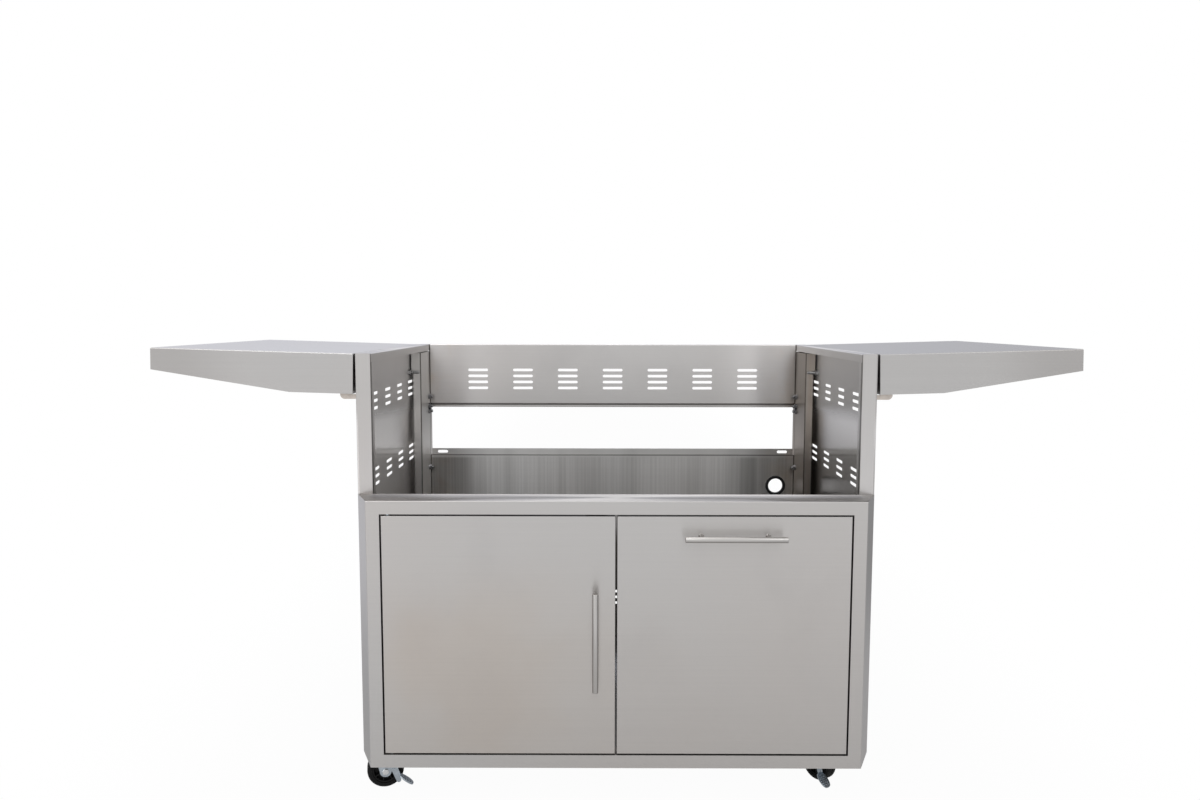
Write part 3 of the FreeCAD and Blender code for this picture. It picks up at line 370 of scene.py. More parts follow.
def frame_marks(finish, x, y, z, level):
    """Front frame: painted shade on the returns round the opening, painted shade and more roughness on the
    ledge with darker ends, painted shade on the corner faces.
    """
    low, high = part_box("front_frame")
    door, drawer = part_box("door_panel"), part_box("drawer_front")
    reach = max(abs(door[0].x), abs(drawer[1].x)) + LEAF_GAP
    top = door[1].z + LEAF_GAP
    # Painted shade on the returns round the opening, seen through the gaps.
    jamb_shade = abs(x).step(reach + 0.002, reach + 0.001) * z.step(top + 0.002, top + 0.001)
    jamb_shade = behind_front(y, low.y) * jamb_shade
    # Painted shade on the corner faces, more at the lower left and the upper right, and on the ledge, more at
    # its ends.
    corner = abs(x).step(high.x - 0.033, high.x - 0.031) * (1 - level)
    left_foot = x.step(0.01, -0.01) * z.step(0.55, 0.2)
    right_head = x.step(-0.01, 0.01) * z.step(0.2, 0.55)
    shade = corner * (left_foot + right_head) * 0.22
    ends = abs(x).step(0.36, 0.47)
    return {"painted_shade_and_streaks": jamb_shade + shade + corner * 0.09 + level * (0.25 + ends * 0.3), "rough": level * 0.1}


def shelf_marks(top_shade, top_lift, front_lift):
    """Shelf: painted light on the top and the front, painted shade on the top and on the ends of the front.
    """
    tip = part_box("right_shelf")[1].x

    def marks(finish, x, y, z, level):
        # Painted shade on the ends and the top; painted light on the top and the front.
        ends = abs(x).step(tip - 0.22, tip - 0.04) * (1 - level)
        return {"painted_shade_and_streaks": ends * 0.15 + level * top_shade, "painted_light": level * top_lift + (1 - level) * front_lift}

    return marks


def leaf_marks(node, warmth):
    """Door and drawer front: painted shade on the returns, and a painted warm reflection low on the face."""
    low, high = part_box(node)

    def marks(finish, x, y, z, level):
        patch = finish.noise(finish.here(), scale=5.0).step(0.3, 0.7)
        # Painted shade on the returns seen through the gaps; a painted warm reflection low on the face,
        # weaker to the right, with a little painted light.
        warm_reflection = z.step(high.z - 0.06, high.z - 0.26) * (1 - x.step(high.x - 0.2, high.x) * 0.5)
        return {"painted_shade_and_streaks": behind_front(y, low.y) * 0.88, "warm_tint": warm_reflection * (0.5 + patch * 0.5) * warmth,
                "painted_light": warm_reflection * warmth * 0.12}

    return marks


# Other finishes

BAR_SIDE_SHADE = (0.34, 0.31, 0.29)
DUST_GAIN = 2.2


def plated(name, tone, roughness):
    """Zinc or nickel plate: mottled, with a faint spangle."""
    finish = Finish(name, Metallic=1.0)
    mottle = finish.noise(finish.here(), scale=90.0, detail=3.0, rough=0.6)
    cloud = finish.noise(finish.here(), scale=22.0)
    finish.set("Base Color", finish.mix(mottle.step(0.3, 0.7), rgb(*tone, 0.9), rgb(*tone, 1.04)))
    finish.set("Roughness", roughness + (cloud - 0.5) * 0.14)
    finish.bump(mottle, 0.05, 0.0001)
    return finish.material


def drawn_bar(name, tone, roughness):
    """Steel bar polished along its length, with painted shade on its sides, underside and top."""
    finish = Finish(name, Metallic=1.0)
    fine = finish.noise(finish.here(), scale=1500.0)
    sideways, _, upwards = finish.normal()
    # Painted shade by the way the surface faces: on the sides, the underside and the top of the bar.
    dull = abs(sideways).step(0.64, 0.92) + upwards.step(-0.5, -0.9) + upwards.step(0.7, 0.95) * 0.5
    dull = dull + abs(upwards).step(0.1, 0.4) * 0.06
    colour = finish.mix(fine, rgb(*tone, 0.98), rgb(*tone, 1.08))
    finish.set("Base Color", finish.mix(dull, colour, rgb(*BAR_SIDE_SHADE), "MULTIPLY"))
    finish.set("Roughness", roughness + fine * 0.06)
    return finish.material


def moulded(name, tone, roughness, grain, depth):
    """Rubber or plastic with a fine moulded grain and a little dust."""
    finish = Finish(name, **{"Specular IOR Level": 0.25})
    level = finish.place()[3]
    pores = finish.noise(finish.here(), scale=grain, detail=3.0, rough=0.6)
    dust = finish.noise(finish.here(), scale=35.0, detail=3.0, rough=0.65).step(0.52, 0.8)
    finish.set("Base Color", finish.mix(dust * 0.4 + level * 0.1, rgb(*tone), rgb(*tone, DUST_GAIN)))
    finish.set("Roughness", roughness + (pores - 0.5) * 0.2 + dust * 0.1)
    finish.bump(pores, 0.25, depth)
    return finish.material


# Finishes of this cart, by slot and then by piece

FACE = (0.60, 0.587, 0.577)
BACK = (0.57, 0.565, 0.555)
SHELF = (0.525, 0.517, 0.51)
# The two column tones are a lit and a shaded copy of one steel: painted light on the left column, painted
# shade on the right.
LIT_LEFT_COLUMN = (0.65, 0.645, 0.635)
SHADED_RIGHT_COLUMN = (0.42, 0.405, 0.39)
# The cabinet floor's dark tone is painted shade.
CABINET_FLOOR_SHADE = (0.14, 0.138, 0.135)
FACE_ROUGHNESS = 0.31
FACE_SMEAR = 0.93
INNER_SMEAR = 0.1

SHEET = brushed_sheet("brushed stainless sheet", FACE, FACE_ROUGHNESS, FACE_SMEAR)
INNER = brushed_sheet("inner stainless sheet", BACK, roughness=0.36, smear=INNER_SMEAR)
BAR = drawn_bar("handle bar steel", (0.555, 0.54, 0.525), roughness=0.27)
BOLT = plated("bolts in the bay", (0.26, 0.26, 0.27), roughness=0.38)
STUD = plated("long bolts in the bay", (0.50, 0.50, 0.50), roughness=0.38)
SHINE = plated("axle bolt steel", (0.86, 0.87, 0.88), roughness=0.30)
RAIL = plated("bright plated steel", (0.58, 0.59, 0.60), roughness=0.28)
ZINC = plated("blue zinc plate", (0.57, 0.63, 0.69), roughness=0.27)
# The brackets' warm tone is a painted warm reflection.
BRACKET = plated("bracket steel", (0.64, 0.58, 0.53), roughness=0.42)
RUBBER = moulded("black rubber", (0.012, 0.012, 0.013), roughness=0.55, grain=900.0, depth=0.0002)
TYRE = moulded("black tyre", (0.004, 0.004, 0.0045), roughness=0.62, grain=600.0, depth=0.0003)
CORE = moulded("black wheel core", (0.006, 0.006, 0.0065), roughness=0.5, grain=500.0, depth=0.0002)
BUSH = moulded("white bush plastic", (0.55, 0.55, 0.53), roughness=0.5, grain=400.0, depth=0.0001)
MAGNET = moulded("catch housing", (0.03, 0.03, 0.03), roughness=0.5, grain=500.0, depth=0.0001)

FINISHES = {"stainless_sheet": SHEET, "handle_steel": BAR, "plated_steel": RAIL, "zinc": ZINC,
            "grommet_rubber": RUBBER, "tyre": TYRE, "wheel_core": CORE, "bush": BUSH, "magnet": MAGNET}


def face_sheet(name, marks, upright=False):
    """The cart's outer sheet, with the marks of one piece."""
    return brushed_sheet(name, FACE, FACE_ROUGHNESS, FACE_SMEAR, upright, marks)


def column_sheet(side, tone, **shades):
    marks = column_marks(side + "_rear_column", **shades)
    return brushed_sheet(side + " column sheet", tone, roughness=0.36, smear=0.8, upright=True, marks=marks)


def side_sheet(side, **shades):
    marks = side_marks(side + "_side_panel", **shades)
    return face_sheet(side + " side sheet", marks, upright=True)


def shelf_sheet(side, **shades):
    marks = shelf_marks(**shades)
    return brushed_sheet(side + " shelf sheet", SHELF, roughness=0.34, smear=0.0, marks=marks)


PLACED = {
    "door_liner": INNER,
    "drawer_liner": INNER,
    "tank_tray": INNER,
    "left_shelf_brackets": BRACKET,
    "right_shelf_brackets": BRACKET,
    "cabinet_floor": brushed_sheet("cabinet floor sheet", CABINET_FLOOR_SHADE, roughness=0.46, smear=INNER_SMEAR),
    "vent_panel": face_sheet("vent panel sheet", vent_marks("vent_panel")),
    "lower_back_panel": brushed_sheet("lower back sheet", BACK, roughness=0.34, smear=0.97,
                                      marks=lower_back_marks("lower_back_panel")),
    "left_rear_column": column_sheet("left", LIT_LEFT_COLUMN, heat_level=0.15, web_shade=0.12, tab_shade=0.2),
    "right_rear_column": column_sheet("right", SHADED_RIGHT_COLUMN, heat_level=0.75, web_shade=0.46, tab_shade=0.0),
    "left_side_panel": side_sheet("left", low_shade=0.0, top_shade=0.0, lift=1.0),
    "right_side_panel": side_sheet("right", low_shade=0.45, top_shade=0.15, lift=0.35),
    "front_frame": face_sheet("front frame sheet", frame_marks),
    "door_panel": face_sheet("door sheet", leaf_marks("door_panel", warmth=0.4)),
    "drawer_front": face_sheet("drawer front sheet", leaf_marks("drawer_front", warmth=0.08)),
    "left_shelf": shelf_sheet("left", top_shade=0.0, top_lift=0.22, front_lift=0.2),
    "right_shelf": shelf_sheet("right", top_shade=0.2, top_lift=0.0, front_lift=0.11),
}

for subpart in frame["record"]["subparts"]:
    node = nodes[subpart["node"]]
    if not node.material_slots:
        node.data.materials.append(SHEET)
    for place in node.material_slots:
        place.material = PLACED.get(subpart["node"], FINISHES[subpart["material_slot"]])


# Mesh helpers

def add_piece(name, mesh, body, slot, *replaced, material=None):
    """A finished mesh that moves with a body and stands for the given CAD nodes."""
    mesh.materials.clear()
    mesh.materials.append(material or FINISHES[slot])
    piece = bpy.data.objects.new(name, mesh)
    bpy.context.collection.objects.link(piece)
    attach(piece, body)
    if replaced:
        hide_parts(*replaced)
    return piece


def smooth(mesh):
    """Round faces smooth, real edges sharp."""
    mesh.shade_smooth()
    mesh.set_sharp_from_angle(angle=SHARP_EDGE)
    return mesh


def as_mesh(shape, name):
    mesh = bpy.data.meshes.new(name)
    shape.to_mesh(mesh)
    shape.free()
    return smooth(mesh)


def finished(shape, name):
    """A closed mesh from a shape, with its faces outwards."""
    bmesh.ops.remove_doubles(shape, verts=shape.verts, dist=MERGE_DISTANCE)
    bmesh.ops.recalc_face_normals(shape, faces=shape.faces)
    return as_mesh(shape, name)


def turned(shape, profile, origin, axis, steps=48, ring=False):
    """Solid of revolution; the profile is (along, radius) pairs, end to end or closed as a ring."""
    axis = Vector(axis).normalized()
    first = axis.orthogonal().normalized()
    second = axis.cross(first)
    rows = []
    for along, radius in profile:
        middle = Vector(origin) + axis * along
        if radius == 0:
            rows.append([shape.verts.new(middle)] * steps)
            continue
        row = []
        for i in range(steps):
            angle = 2 * math.pi * i / steps
            spoke = first * math.cos(angle) + second * math.sin(angle)
            row.append(shape.verts.new(middle + spoke * radius))
        rows.append(row)
    pairs = list(zip(rows, rows[1:]))
    if ring:
        pairs.append((rows[-1], rows[0]))
    for near, far in pairs:
        for i in range(steps):
            j = (i + 1) % steps
            corners = []
            for vertex in (near[i], near[j], far[j], far[i]):
                if vertex not in corners:
                    corners.append(vertex)
            shape.faces.new(corners)


def mirrored(profile):
    """The other half of a profile that is the same both ways."""
    return [(-along, radius) for along, radius in profile[::-1]]


def slab(shape, outline, low, high, place):
    """Prism on a flat outline, between two distances; place turns (u, v, w) into a point."""
    count = len(outline)
    lower = [shape.verts.new(place(u, v, low)) for u, v in outline]
    upper = [shape.verts.new(place(u, v, high)) for u, v in outline]
    shape.faces.new(lower[::-1])
    shape.faces.new(upper)
    for i in range(count):
        j = (i + 1) % count
        shape.faces.new((lower[i], lower[j], upper[j], upper[i]))


def arc(u, v, radius, start, end, steps):
    """Points of an arc, angles in degrees."""
    angles = [math.radians(start + (end - start) * i / steps) for i in range(steps + 1)]
    return [(u + radius * math.cos(a), v + radius * math.sin(a)) for a in angles]


# Bar handles: chamfered bars on flared posts. A flare is (distance from the foot, added radius) pairs

BAR_CHAMFER = 0.0009
POST_RADIUS = 0.0045
POST_START = 0.002
POST_FLARE = ((0.0024, 0.0), (0.0018, 0.0002), (0.0008, 0.0009), (0.0002, 0.0014), (0.0, 0.0014))


def bar_handle(name, body, axis):
    low, high = (Vector(corner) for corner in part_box(name + "_bar"))
    middle = (low + high) / 2
    run = Vector(axis)
    half = (high - low).dot(run) / 2
    radius = (high.y - low.y) / 2
    tip = [(half - BAR_CHAMFER, radius), (half - BAR_CHAMFER * 0.4, radius - BAR_CHAMFER * 0.35),
           (half, radius - BAR_CHAMFER), (half, 0)]
    shape = bmesh.new()
    turned(shape, mirrored(tip) + tip, middle, run)
    add_piece(name + "_bar_turned", finished(shape, name + "_bar"), body, "handle_steel", name + "_bar")

    low, high = (Vector(corner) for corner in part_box(name + "_posts"))
    spread = (high - low).dot(run) / 2 - POST_RADIUS
    stand = high.y - middle.y
    post = [(POST_START, 0), (POST_START, POST_RADIUS)]
    post += [(stand - back, POST_RADIUS + wider) for back, wider in POST_FLARE]
    post += [(stand, 0)]
    shape = bmesh.new()
    for side in (-1, 1):
        turned(shape, post, middle + run * spread * side, (0, 1, 0), 32)
    add_piece(name + "_posts_turned", finished(shape, name + "_posts"), body, "handle_steel", name + "_posts")


bar_handle("door_handle", "door", (0, 0, 1))
bar_handle("drawer_handle", "drawer", (1, 0, 0))


# Geometry trees

class Recipe(Tree):
    """A geometry tree with named inputs, which puts a shape on points."""

    def __init__(self, name, **inputs):
        super().__init__(bpy.data.node_groups.new(name, "GeometryNodeTree"))
        face = self.tree.interface
        face.new_socket("Points", in_out="INPUT", socket_type="NodeSocketGeometry")
        self.identifiers = {}
        for label, kind in inputs.items():
            socket = face.new_socket(label, in_out="INPUT", socket_type="NodeSocket" + kind)
            self.identifiers[label] = socket.identifier
        face.new_socket("Result", in_out="OUTPUT", socket_type="NodeSocketGeometry")
        self.inputs = self.node("NodeGroupInput").outputs
        self.output = self.node("NodeGroupOutput").inputs[0]

    def sizes(self, *labels):
        return [Field(self, self.inputs[label]) for label in labels]

    def move(self, geometry, offset):
        node = self.node("GeometryNodeTransform", {}, {"Geometry": geometry, "Translation": offset})
        return node.outputs[0]

    def cylinder(self, sides, radius, depth, middle):
        """Upright cylinder or prism, with its middle at a height."""
        node = self.node("GeometryNodeMeshCylinder", {},
                         {"Vertices": sides, "Radius": radius, "Depth": depth})
        return self.move(node.outputs["Mesh"], self.vector(z=middle))

    def close(self, shape):
        """The shape on each point, turned the way the point faces, as real faces with their finish."""
        way = self.node("GeometryNodeInputNamedAttribute", {"data_type": "FLOAT_VECTOR"}, {"Name": "facing"})
        turn = self.node("FunctionNodeAlignRotationToVector", {"axis": "Z"}, {"Vector": way.outputs[0]})
        placed = self.node("GeometryNodeInstanceOnPoints", {},
                           {"Points": self.inputs["Points"], "Instance": shape, "Rotation": turn.outputs[0]})
        real = self.node("GeometryNodeRealizeInstances", {}, {0: placed.outputs[0]})
        done = self.node("GeometryNodeSetMaterial", {},
                         {"Geometry": real.outputs[0], "Material": self.inputs["Finish"]})
        self.feed(self.output, done.outputs[0])

    def cook(self, name, points, facing, **values):
        """Plain mesh from the tree, on points that each face a way."""
        mesh = bpy.data.meshes.new(name)
        mesh.from_pydata([tuple(p) for p in points], [], [])
        ways = mesh.attributes.new("facing", "FLOAT_VECTOR", "POINT")
        ways.data.foreach_set("vector", [c for way in facing for c in way])
        holder = bpy.data.objects.new(name, mesh)
        bpy.context.collection.objects.link(holder)
        modifier = holder.modifiers.new("recipe", "NODES")
        modifier.node_group = self.tree
        for label, given in values.items():
            modifier[self.identifiers[label]] = given
        sight = bpy.context.evaluated_depsgraph_get()
        result = bpy.data.meshes.new_from_object(holder.evaluated_get(sight))
        holder.modifiers.remove(modifier)
        bpy.data.objects.remove(holder)
        return smooth(result)


# Nuts and bolts

HEX_CORNER = 0.5774
HEX_BODY = 0.82
THREAD_ROOT = 0.46
THREAD_WIRE = 0.35
LONG_BOLT = 0.02
BAY_NUT = {"Across": 0.0125, "Height": 0.0056, "Washer": 0.0155, "Sheet": 0.0012, "Thread": 0.008,
           "Pitch": 0.0012}
CASTER_SCREW = {"Across": 0.0095, "Height": 0.0028, "Washer": 0.012, "Sheet": 0.0008, "Thread": 0.004,
                "Pitch": 0.001, "Reach": 0.0032}


def fastener_recipe():
    """Hex head or nut on a washer, with a threaded end through it."""
    labels = ("Across", "Height", "Washer", "Sheet", "Thread", "Reach", "Pitch")
    recipe = Recipe("fastener", **{label: "Float" for label in labels}, Finish="Material")
    across, height, washer, sheet, thread, reach, pitch = recipe.sizes(*labels)
    plate = recipe.cylinder(28, washer * 0.5, sheet, sheet * 0.5)
    body = height * HEX_BODY
    hexagon = recipe.cylinder(6, across * HEX_CORNER, body, body * 0.5 + sheet)
    cone = recipe.node("GeometryNodeMeshCone", {}, {"Vertices": 24, "Radius Top": thread * 0.5,
                                                   "Radius Bottom": across * 0.5, "Depth": height - body})
    cap = recipe.move(cone.outputs["Mesh"], recipe.vector(z=body + sheet))
    root = thread * THREAD_ROOT
    rod = recipe.cylinder(20, root, reach, reach * 0.5)
    helix = recipe.node("GeometryNodeCurveSpiral", {}, {"Resolution": 14, "Rotations": reach / pitch,
                                                       "Start Radius": root, "End Radius": root,
                                                       "Height": reach})
    wire = recipe.node("GeometryNodeCurvePrimitiveCircle", {},
                       {"Resolution": 4, "Radius": pitch * THREAD_WIRE})
    ridge = recipe.node("GeometryNodeCurveToMesh", {}, {"Curve": helix.outputs[0],
                                                       "Profile Curve": wire.outputs[0], "Fill Caps": True})
    joined = recipe.node("GeometryNodeJoinGeometry")
    for part in (plate, hexagon, cap, rod, ridge.outputs[0]):
        recipe.feed(joined.inputs[0], part)
    recipe.close(joined.outputs[0])
    return recipe


def islands(name):
    """Boxes of the separate solids in a CAD node."""
    shape = bmesh.new()
    shape.from_mesh(nodes[name].data)
    bmesh.ops.remove_doubles(shape, verts=shape.verts, dist=MERGE_DISTANCE)
    boxes = []
    left = set(shape.verts)
    for seed in shape.verts:
        if seed not in left:
            continue
        left.remove(seed)
        front = [seed]
        found = []
        while front:
            vertex = front.pop()
            found.append(vertex.co)
            for edge in vertex.link_edges:
                other = edge.other_vert(vertex)
                if other in left:
                    left.remove(other)
                    front.append(other)
        boxes.append(tuple(Vector(pick(p[i] for p in found) for i in range(3)) for pick in (min, max)))
    shape.free()
    return boxes


def bay_fasteners(recipe):
    """Nuts in the bay, on bolts that stick out through the columns and the sides."""
    bolts = islands("bay_bolts")
    for label, steel, replaced in (("short", BOLT, ("bay_bolts", "bay_nuts")), ("long", STUD, ())):
        points, ways, reach = [], [], 0
        for low, high in bolts:
            if (high.x - low.x >= LONG_BOLT) != (label == "long"):
                continue
            middle = (low + high) / 2
            side = 1 if low.x > 0 else -1
            points.append((high.x if side > 0 else low.x, middle.y, middle.z))
            ways.append((-side, 0, 0))
            reach = high.x - low.x
        mesh = recipe.cook("bay_nuts_" + label, points, ways, Reach=reach, Finish=steel, **BAY_NUT)
        add_piece("bay_nuts_" + label, mesh, "cart", "zinc", *replaced, material=steel)


def caster_fasteners(recipe):
    """Screw heads under the caster plates."""
    points = []
    for low, high in islands("caster_screws"):
        middle = (low + high) / 2
        points.append((middle.x, middle.y, high.z))
    ways = [tuple(-UP)] * len(points)
    mesh = recipe.cook("caster_screw_heads", points, ways, Finish=ZINC, **CASTER_SCREW)
    add_piece("caster_screw_heads", mesh, "cart", "zinc", "caster_screws")


FASTENER = fastener_recipe()
bay_fasteners(FASTENER)
caster_fasteners(FASTENER)


# Casters

TYRE_SHOULDER = 0.007
TYRE_WALL = 0.0108
GROOVE_HALF = 0.0018
GROOVE_DEPTH = 0.0005
GROOVE_SLOPE = 0.0004
SHOULDER_STEP = 0.0002
WHEEL_STEPS = 72
HUB_PROUD = 0.0015
RIM_INSET = 0.002
WEB_SHARE = 0.36
AXLE_BORE = 0.00405
RIB_INSET = 0.0008
RIB_SINK = 0.0002
RIB = {"Count": 8, "Inner": 0.0088, "Outer": 0.0246, "Width": 0.0022}
AXLE_RADIUS = 0.004
AXLE_CHAMFER = 0.0008
AXLE_HEAD = 0.004
AXLE_FLAT = 0.0065
AXLE_HEAD_CHAMFER = 0.0007
AXLE_SEAT = 0.0035


def wheel_place(tag):
    """Middle of a wheel, and its axle's way."""
    roll = joints[tag + "_roll"]
    return Vector(roll["pos_m"]), Vector(roll["axis"])


def half_across(node):
    """Half of a node's width along the axle, from the caster that stands square to the axes."""
    low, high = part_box("rear_left_" + node)
    return (high.y - low.y) / 2


def rib_recipe():
    """Ribs round a hub, on both faces of a wheel."""
    recipe = Recipe("wheel ribs", Count="Int", Inner="Float", Outer="Float", Width="Float", Depth="Float",
                    Finish="Material")
    count, inner, outer, width, depth = recipe.sizes("Count", "Inner", "Outer", "Width", "Depth")
    span = outer - inner
    rib = recipe.node("GeometryNodeMeshCube", {}, {"Size": recipe.vector(span, width, depth)})
    rib = recipe.move(rib.outputs["Mesh"], recipe.vector(x=span * 0.5 + inner))
    spots = recipe.node("GeometryNodePoints", {}, {"Count": count})
    index = Field(recipe, recipe.node("GeometryNodeInputIndex").outputs[0])
    spin = recipe.vector(z=index / count * (2 * math.pi))
    fan = recipe.node("GeometryNodeInstanceOnPoints", {},
                      {"Points": spots.outputs[0], "Instance": rib, "Rotation": spin})
    recipe.close(fan.outputs[0])
    return recipe


def tyre(tag):
    """Tyre with round shoulders and a fine groove round its middle."""
    middle, axle = wheel_place(tag)
    half = half_across("tyre")
    radius = middle.z
    side = [(GROOVE_HALF, radius - GROOVE_DEPTH), (GROOVE_HALF + GROOVE_SLOPE, radius)]
    side += arc(half - TYRE_SHOULDER, radius - TYRE_SHOULDER, TYRE_SHOULDER, 90, 0, 6)
    side += [(half, radius - TYRE_SHOULDER - SHOULDER_STEP), (half, radius - TYRE_WALL)]
    shape = bmesh.new()
    turned(shape, mirrored(side) + side, middle, axle, WHEEL_STEPS, True)
    add_piece(tag + "_tyre_turned", finished(shape, tag + "_tyre"), tag + "_wheel", "tyre", tag + "_tyre")


def wheel_core(tag, recipe):
    """Core with a proud hub, a sunken web and ribs on both faces."""
    middle, axle = wheel_place(tag)
    half = half_across("tyre")
    hub = half + HUB_PROUD
    web = half * WEB_SHARE
    rim = half - RIM_INSET
    side = [(hub, AXLE_BORE), (hub, 0.0080), (hub - 0.0006, 0.0090), (web + 0.0015, 0.0094), (web, 0.0105),
            (web, 0.0232), (web + 0.0015, 0.0243), (rim - 0.0003, 0.0248), (rim, 0.0253), (rim, 0.0279)]
    shape = bmesh.new()
    turned(shape, side + mirrored(side), middle, axle, WHEEL_STEPS, True)
    core = finished(shape, tag + "_core")
    deep = rim - web - RIB_INSET
    centre = axle * (web + deep / 2 - RIB_SINK)
    ribs = recipe.cook(tag + "_ribs", [middle - centre, middle + centre], [tuple(-axle), tuple(axle)],
                       Depth=deep, Finish=CORE, **RIB)
    shape = bmesh.new()
    shape.from_mesh(core)
    shape.from_mesh(ribs)
    mesh = as_mesh(shape, tag + "_core")
    add_piece(tag + "_core_turned", mesh, tag + "_wheel", "wheel_core", tag + "_wheel")


def axle_bolt(tag):
    """Axle with a hex head, and a nut on its far end."""
    middle, axle = wheel_place(tag)
    end = half_across("axle")
    tip = [(end - AXLE_CHAMFER, AXLE_RADIUS), (end, AXLE_RADIUS - AXLE_CHAMFER), (end, 0)]
    shape = bmesh.new()
    turned(shape, mirrored(tip) + tip, middle, axle, 24)
    corner = AXLE_FLAT / math.cos(math.pi / 6)
    head = [(0, AXLE_SEAT), (0, corner), (AXLE_HEAD - AXLE_HEAD_CHAMFER, corner),
            (AXLE_HEAD, AXLE_FLAT), (AXLE_HEAD, AXLE_SEAT)]
    for way in (-1, 1):
        turned(shape, head, middle + axle * (end - AXLE_HEAD) * way, axle * way, 6, True)
    mesh = finished(shape, tag + "_axle")
    add_piece(tag + "_axle_bolt", mesh, tag + "_swivel", "zinc", tag + "_axle", material=SHINE)


# Brake pedals. Outlines are (ahead, up) from the ground under the swivel, or (along, across) on the tread

LEVER_INSET = 0.0037
LEVER_WALL = 0.002
RAISED_FROM, RAISED_TO = 0.0028, 0.0018
TREAD_LENGTH = 0.0350
TREAD_HALF = 0.0115
TREAD_OFFSET = 0.010
TREAD_WALL = 0.0028
TREAD_START = (-0.0030, 0.0315)
TREAD_FALL = (0.0275, -0.0215)
NECK_START, NECK_END = 0.0015, 0.0145
NECK_LOW, NECK_HIGH = TREAD_HALF - 0.006, TREAD_HALF - 0.0010
NECK_HALF_WALL = 0.0012
RIDGES = 6
RIDGE_START = 0.0055
RIDGE_PITCH = 0.0045
RIDGE_HALF = 0.0008
RIDGE_REACH = 0.78
RIDGE_FOOT, RIDGE_TOP = 0.0026, 0.0034
TREAD_ROUNDNESS = 0.7


def tread_outline():
    """Rounded outline of a tread, from its near end and back."""
    turns = [math.radians(a) for a in range(0, 181, 10)]
    edge = [(TREAD_LENGTH / 2 - TREAD_LENGTH / 2 * math.cos(a), TREAD_HALF * math.sin(a) ** TREAD_ROUNDNESS)
            for a in turns[1:-1]]
    return [(0.0, 0.0)] + edge + [(TREAD_LENGTH, 0.0)] + [(s, -w) for s, w in edge[::-1]]


def pedal(tag):
    """Brake pedal beside the wheel: a bent lever with a rounded, ridged tread across its end."""
    axle = wheel_place(tag)[1]
    ahead = axle.cross(UP)
    pivot = Vector(joints[tag + "_brake"]["pos_m"])
    swivel = Vector(joints[tag + "_swivel"]["pos_m"])
    swivel.z = 0
    lag = (pivot - swivel).dot(ahead)
    inner = LEVER_INSET - half_across("axle")
    slope = Vector(TREAD_FALL).normalized()
    normal = Vector((-slope.y, slope.x))

    def beside(u, v, w):
        return swivel + ahead * u + UP * v + axle * w

    def on_tread(s, w, t):
        u = TREAD_START[0] + slope.x * s + normal.x * t
        v = TREAD_START[1] + slope.y * s + normal.y * t
        return beside(u, v, inner - TREAD_OFFSET + w)

    lever = arc(lag, pivot.z, 0.007, 170, -20, 16)
    lever += [(-0.0005, 0.0520), (-0.0060, 0.0440), (-0.0020, 0.0335)]
    lever += arc(-0.0045, 0.0175, 0.0050, 20, -155, 10)
    lever += [(-0.0215, 0.0455), (-0.0190, 0.0540)]
    shape = bmesh.new()
    slab(shape, lever, inner - LEVER_WALL, inner, beside)
    raised = arc(-0.0050, 0.0180, 0.0030, 20, -155, 8) + [(-0.0180, 0.0450), (-0.0100, 0.0450)]
    slab(shape, raised, inner - RAISED_FROM, inner - RAISED_TO, beside)
    slab(shape, tread_outline(), 0.0, TREAD_WALL, on_tread)
    neck = [(NECK_START, NECK_LOW), (NECK_END, NECK_LOW), (NECK_END, NECK_HIGH), (NECK_START, NECK_HIGH)]
    slab(shape, neck, -NECK_HALF_WALL, NECK_HALF_WALL, on_tread)
    for i in range(RIDGES):
        s = RIDGE_START + i * RIDGE_PITCH
        wide = TREAD_HALF * (1 - (s / TREAD_LENGTH * 2 - 1) ** 2) ** 0.5 * RIDGE_REACH
        near, far = s - RIDGE_HALF, s + RIDGE_HALF
        ridge = [(near, -wide), (far, -wide), (far, wide), (near, wide)]
        slab(shape, ridge, RIDGE_FOOT, RIDGE_TOP, on_tread)
    add_piece(tag + "_pedal_formed", finished(shape, tag + "_pedal"), tag + "_pedal", "zinc", tag + "_pedal")


RIBS = rib_recipe()
for tag in CASTERS:
    tyre(tag)
    wheel_core(tag, RIBS)
    axle_bolt(tag)
    if tag + "_pedal" in nodes:
        pedal(tag)


# Stage: pale floor, soft light, camera where the photograph was taken

WHITE = rgb(1, 1, 1)
FLOOR_REACH = 9.0
FLOOR_UNDER = rgb(0.42, 0.415, 0.41)
FLOOR_FRONT = rgb(0.78, 0.775, 0.77)
FLOOR_SIDES = rgb(0.24, 0.24, 0.25)
FLOOR_BACK_RIGHT = rgb(0.03, 0.03, 0.03)
FLOOR_BACK_LEFT = rgb(0.45, 0.45, 0.48)
LAMP_TARGET = (0, 0, 0.5)
FOCAL_PIXELS = 900
FRAME_PIXELS = 1200
SENSOR_WIDTH = 36.0
CAMERA_SPOT = (-0.0308, -2.1765, 1.0192)
CAMERA_PITCH, CAMERA_YAW, CAMERA_ROLL = 0.0910, -0.0019, -0.0016


def white_share(shader):
    """How far a ray sees the plain white background: fully from the camera, partly by way of metal."""
    rays = shader.node("ShaderNodeLightPath").outputs
    shares = {"Is Camera Ray": 1.0, "Is Glossy Ray": 0.3, "Is Transmission Ray": 1.0}
    return sum(Field(shader, rays[name]) * share for name, share in shares.items())


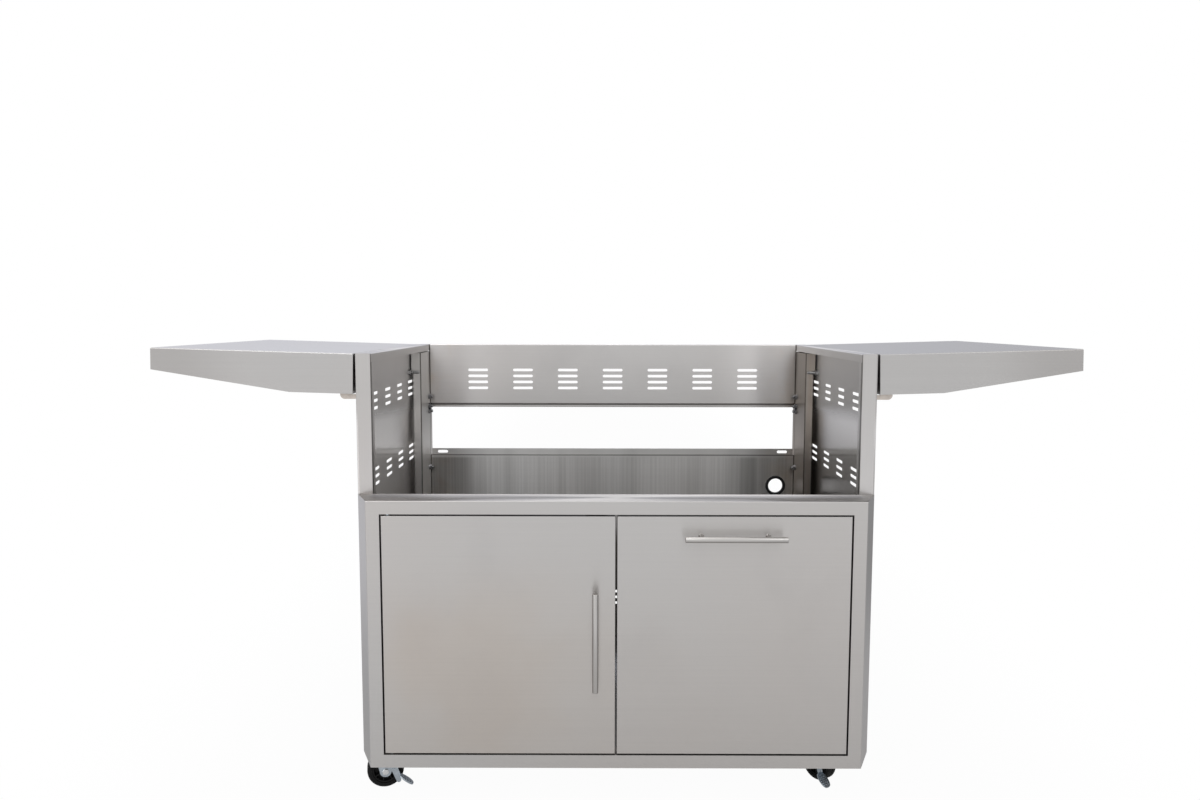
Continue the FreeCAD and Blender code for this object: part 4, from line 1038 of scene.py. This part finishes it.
def floor_paint():
    """White to the camera, with the cart's shadow; greys at the sides for the metal to mirror."""
    paint = Finish("pale floor", Roughness=0.8)
    x, y, _, _ = paint.place()
    aside = abs(x).step(0.5, 1.4)
    back = y.step(0.0, 1.5)
    flank = paint.mix(back * x.step(-0.4, 0.4), FLOOR_SIDES, FLOOR_BACK_RIGHT)
    flank = paint.mix(back * x.step(0.4, -0.4), flank, FLOOR_BACK_LEFT)
    near = paint.mix(aside, FLOOR_UNDER, flank)
    paint.set("Base Color", paint.mix(y.step(-0.6, -2.6), near, FLOOR_FRONT))
    glow = paint.node("ShaderNodeEmission", {}, {"Color": WHITE, "Strength": 1.0})
    blend = paint.node("ShaderNodeMixShader", {}, {0: white_share(paint) * (0.97 + aside * 0.03),
                                                   1: paint.surface.outputs[0], 2: glow.outputs[0]})
    paint.feed(paint.output.inputs["Surface"], blend.outputs[0])
    return paint.material


def stage_floor():
    mesh = bpy.data.meshes.new("floor")
    corners = [(u * FLOOR_REACH, v * FLOOR_REACH, 0) for u, v in ((-1, -1), (1, -1), (1, 1), (-1, 1))]
    mesh.from_pydata(corners, [], [(0, 1, 2, 3)])
    mesh.materials.append(floor_paint())
    floor = bpy.data.objects.new("floor", mesh)
    bpy.context.collection.objects.link(floor)


def stage_world():
    """White to the camera; round the object a soft room, bright above and behind, greyer at the sides."""
    world = bpy.data.worlds.new("studio")
    bpy.context.scene.world = world
    world.use_nodes = True
    room = Shader(world.node_tree)
    x, y, z = room.split("Generated")
    behind = y.step(0.2, 0.9)
    high = z.step(0.0, 0.6)
    bright = 0.35 + high * 0.6 + y.step(-0.2, -0.9) * (0.38 - high * 0.3) + behind * 0.1
    bright = bright + x.step(-0.3, -0.9) * 0.22 - x.step(0.3, 0.9) * 0.2
    bright = bright - behind * x.step(-0.1, 0.5) * z.step(0.02, 0.1) * 0.2
    soft = room.node("ShaderNodeCombineColor", {}, {0: bright * (1 - behind * 0.03), 1: bright,
                                                   2: bright * (1 + behind * 0.15)})
    shade = room.mix(white_share(room), soft.outputs[0], WHITE)
    back = room.node("ShaderNodeBackground", {}, {"Color": shade, "Strength": 1.0})
    room.node("ShaderNodeOutputWorld", {}, {"Surface": back.outputs[0]})


def soft_lamp(name, spot, width, height, power):
    lamp = bpy.data.lights.new(name, "AREA")
    lamp.shape = "RECTANGLE"
    lamp.size = width
    lamp.size_y = height
    lamp.energy = power
    holder = bpy.data.objects.new(name, lamp)
    bpy.context.collection.objects.link(holder)
    holder.location = spot
    holder.rotation_euler = (Vector(LAMP_TARGET) - Vector(spot)).to_track_quat("-Z", "Y").to_euler()


def stage_camera():
    """The view fitted to the photograph."""
    level = math.cos(CAMERA_PITCH)
    ahead = Vector((math.sin(CAMERA_YAW) * level, math.cos(CAMERA_YAW) * level, -math.sin(CAMERA_PITCH)))
    right = Vector((math.cos(CAMERA_YAW), -math.sin(CAMERA_YAW), 0))
    down = ahead.cross(right)
    across = right * math.cos(CAMERA_ROLL) + down * math.sin(CAMERA_ROLL)
    under = down * math.cos(CAMERA_ROLL) - right * math.sin(CAMERA_ROLL)
    turn = Matrix((across, -under, -ahead)).transposed().to_4x4()
    lens = bpy.data.cameras.new("camera")
    lens.sensor_width = SENSOR_WIDTH
    lens.lens = SENSOR_WIDTH * FOCAL_PIXELS / FRAME_PIXELS
    lens.clip_end = 100.0
    camera = bpy.data.objects.new("camera", lens)
    bpy.context.collection.objects.link(camera)
    camera.matrix_world = Matrix.Translation(CAMERA_SPOT) @ turn
    bpy.context.scene.camera = camera


stage_floor()
stage_world()
soft_lamp("key", spot=(-2.6, -3.2, 3.4), width=2.4, height=1.8, power=30)
soft_lamp("fill", spot=(2.8, -2.6, 2.6), width=2.2, height=1.8, power=12)
soft_lamp("top", spot=(-0.4, 0.6, 4.0), width=3.0, height=2.0, power=30)
stage_camera()
bpy.context.scene.view_settings.view_transform = "Standard"
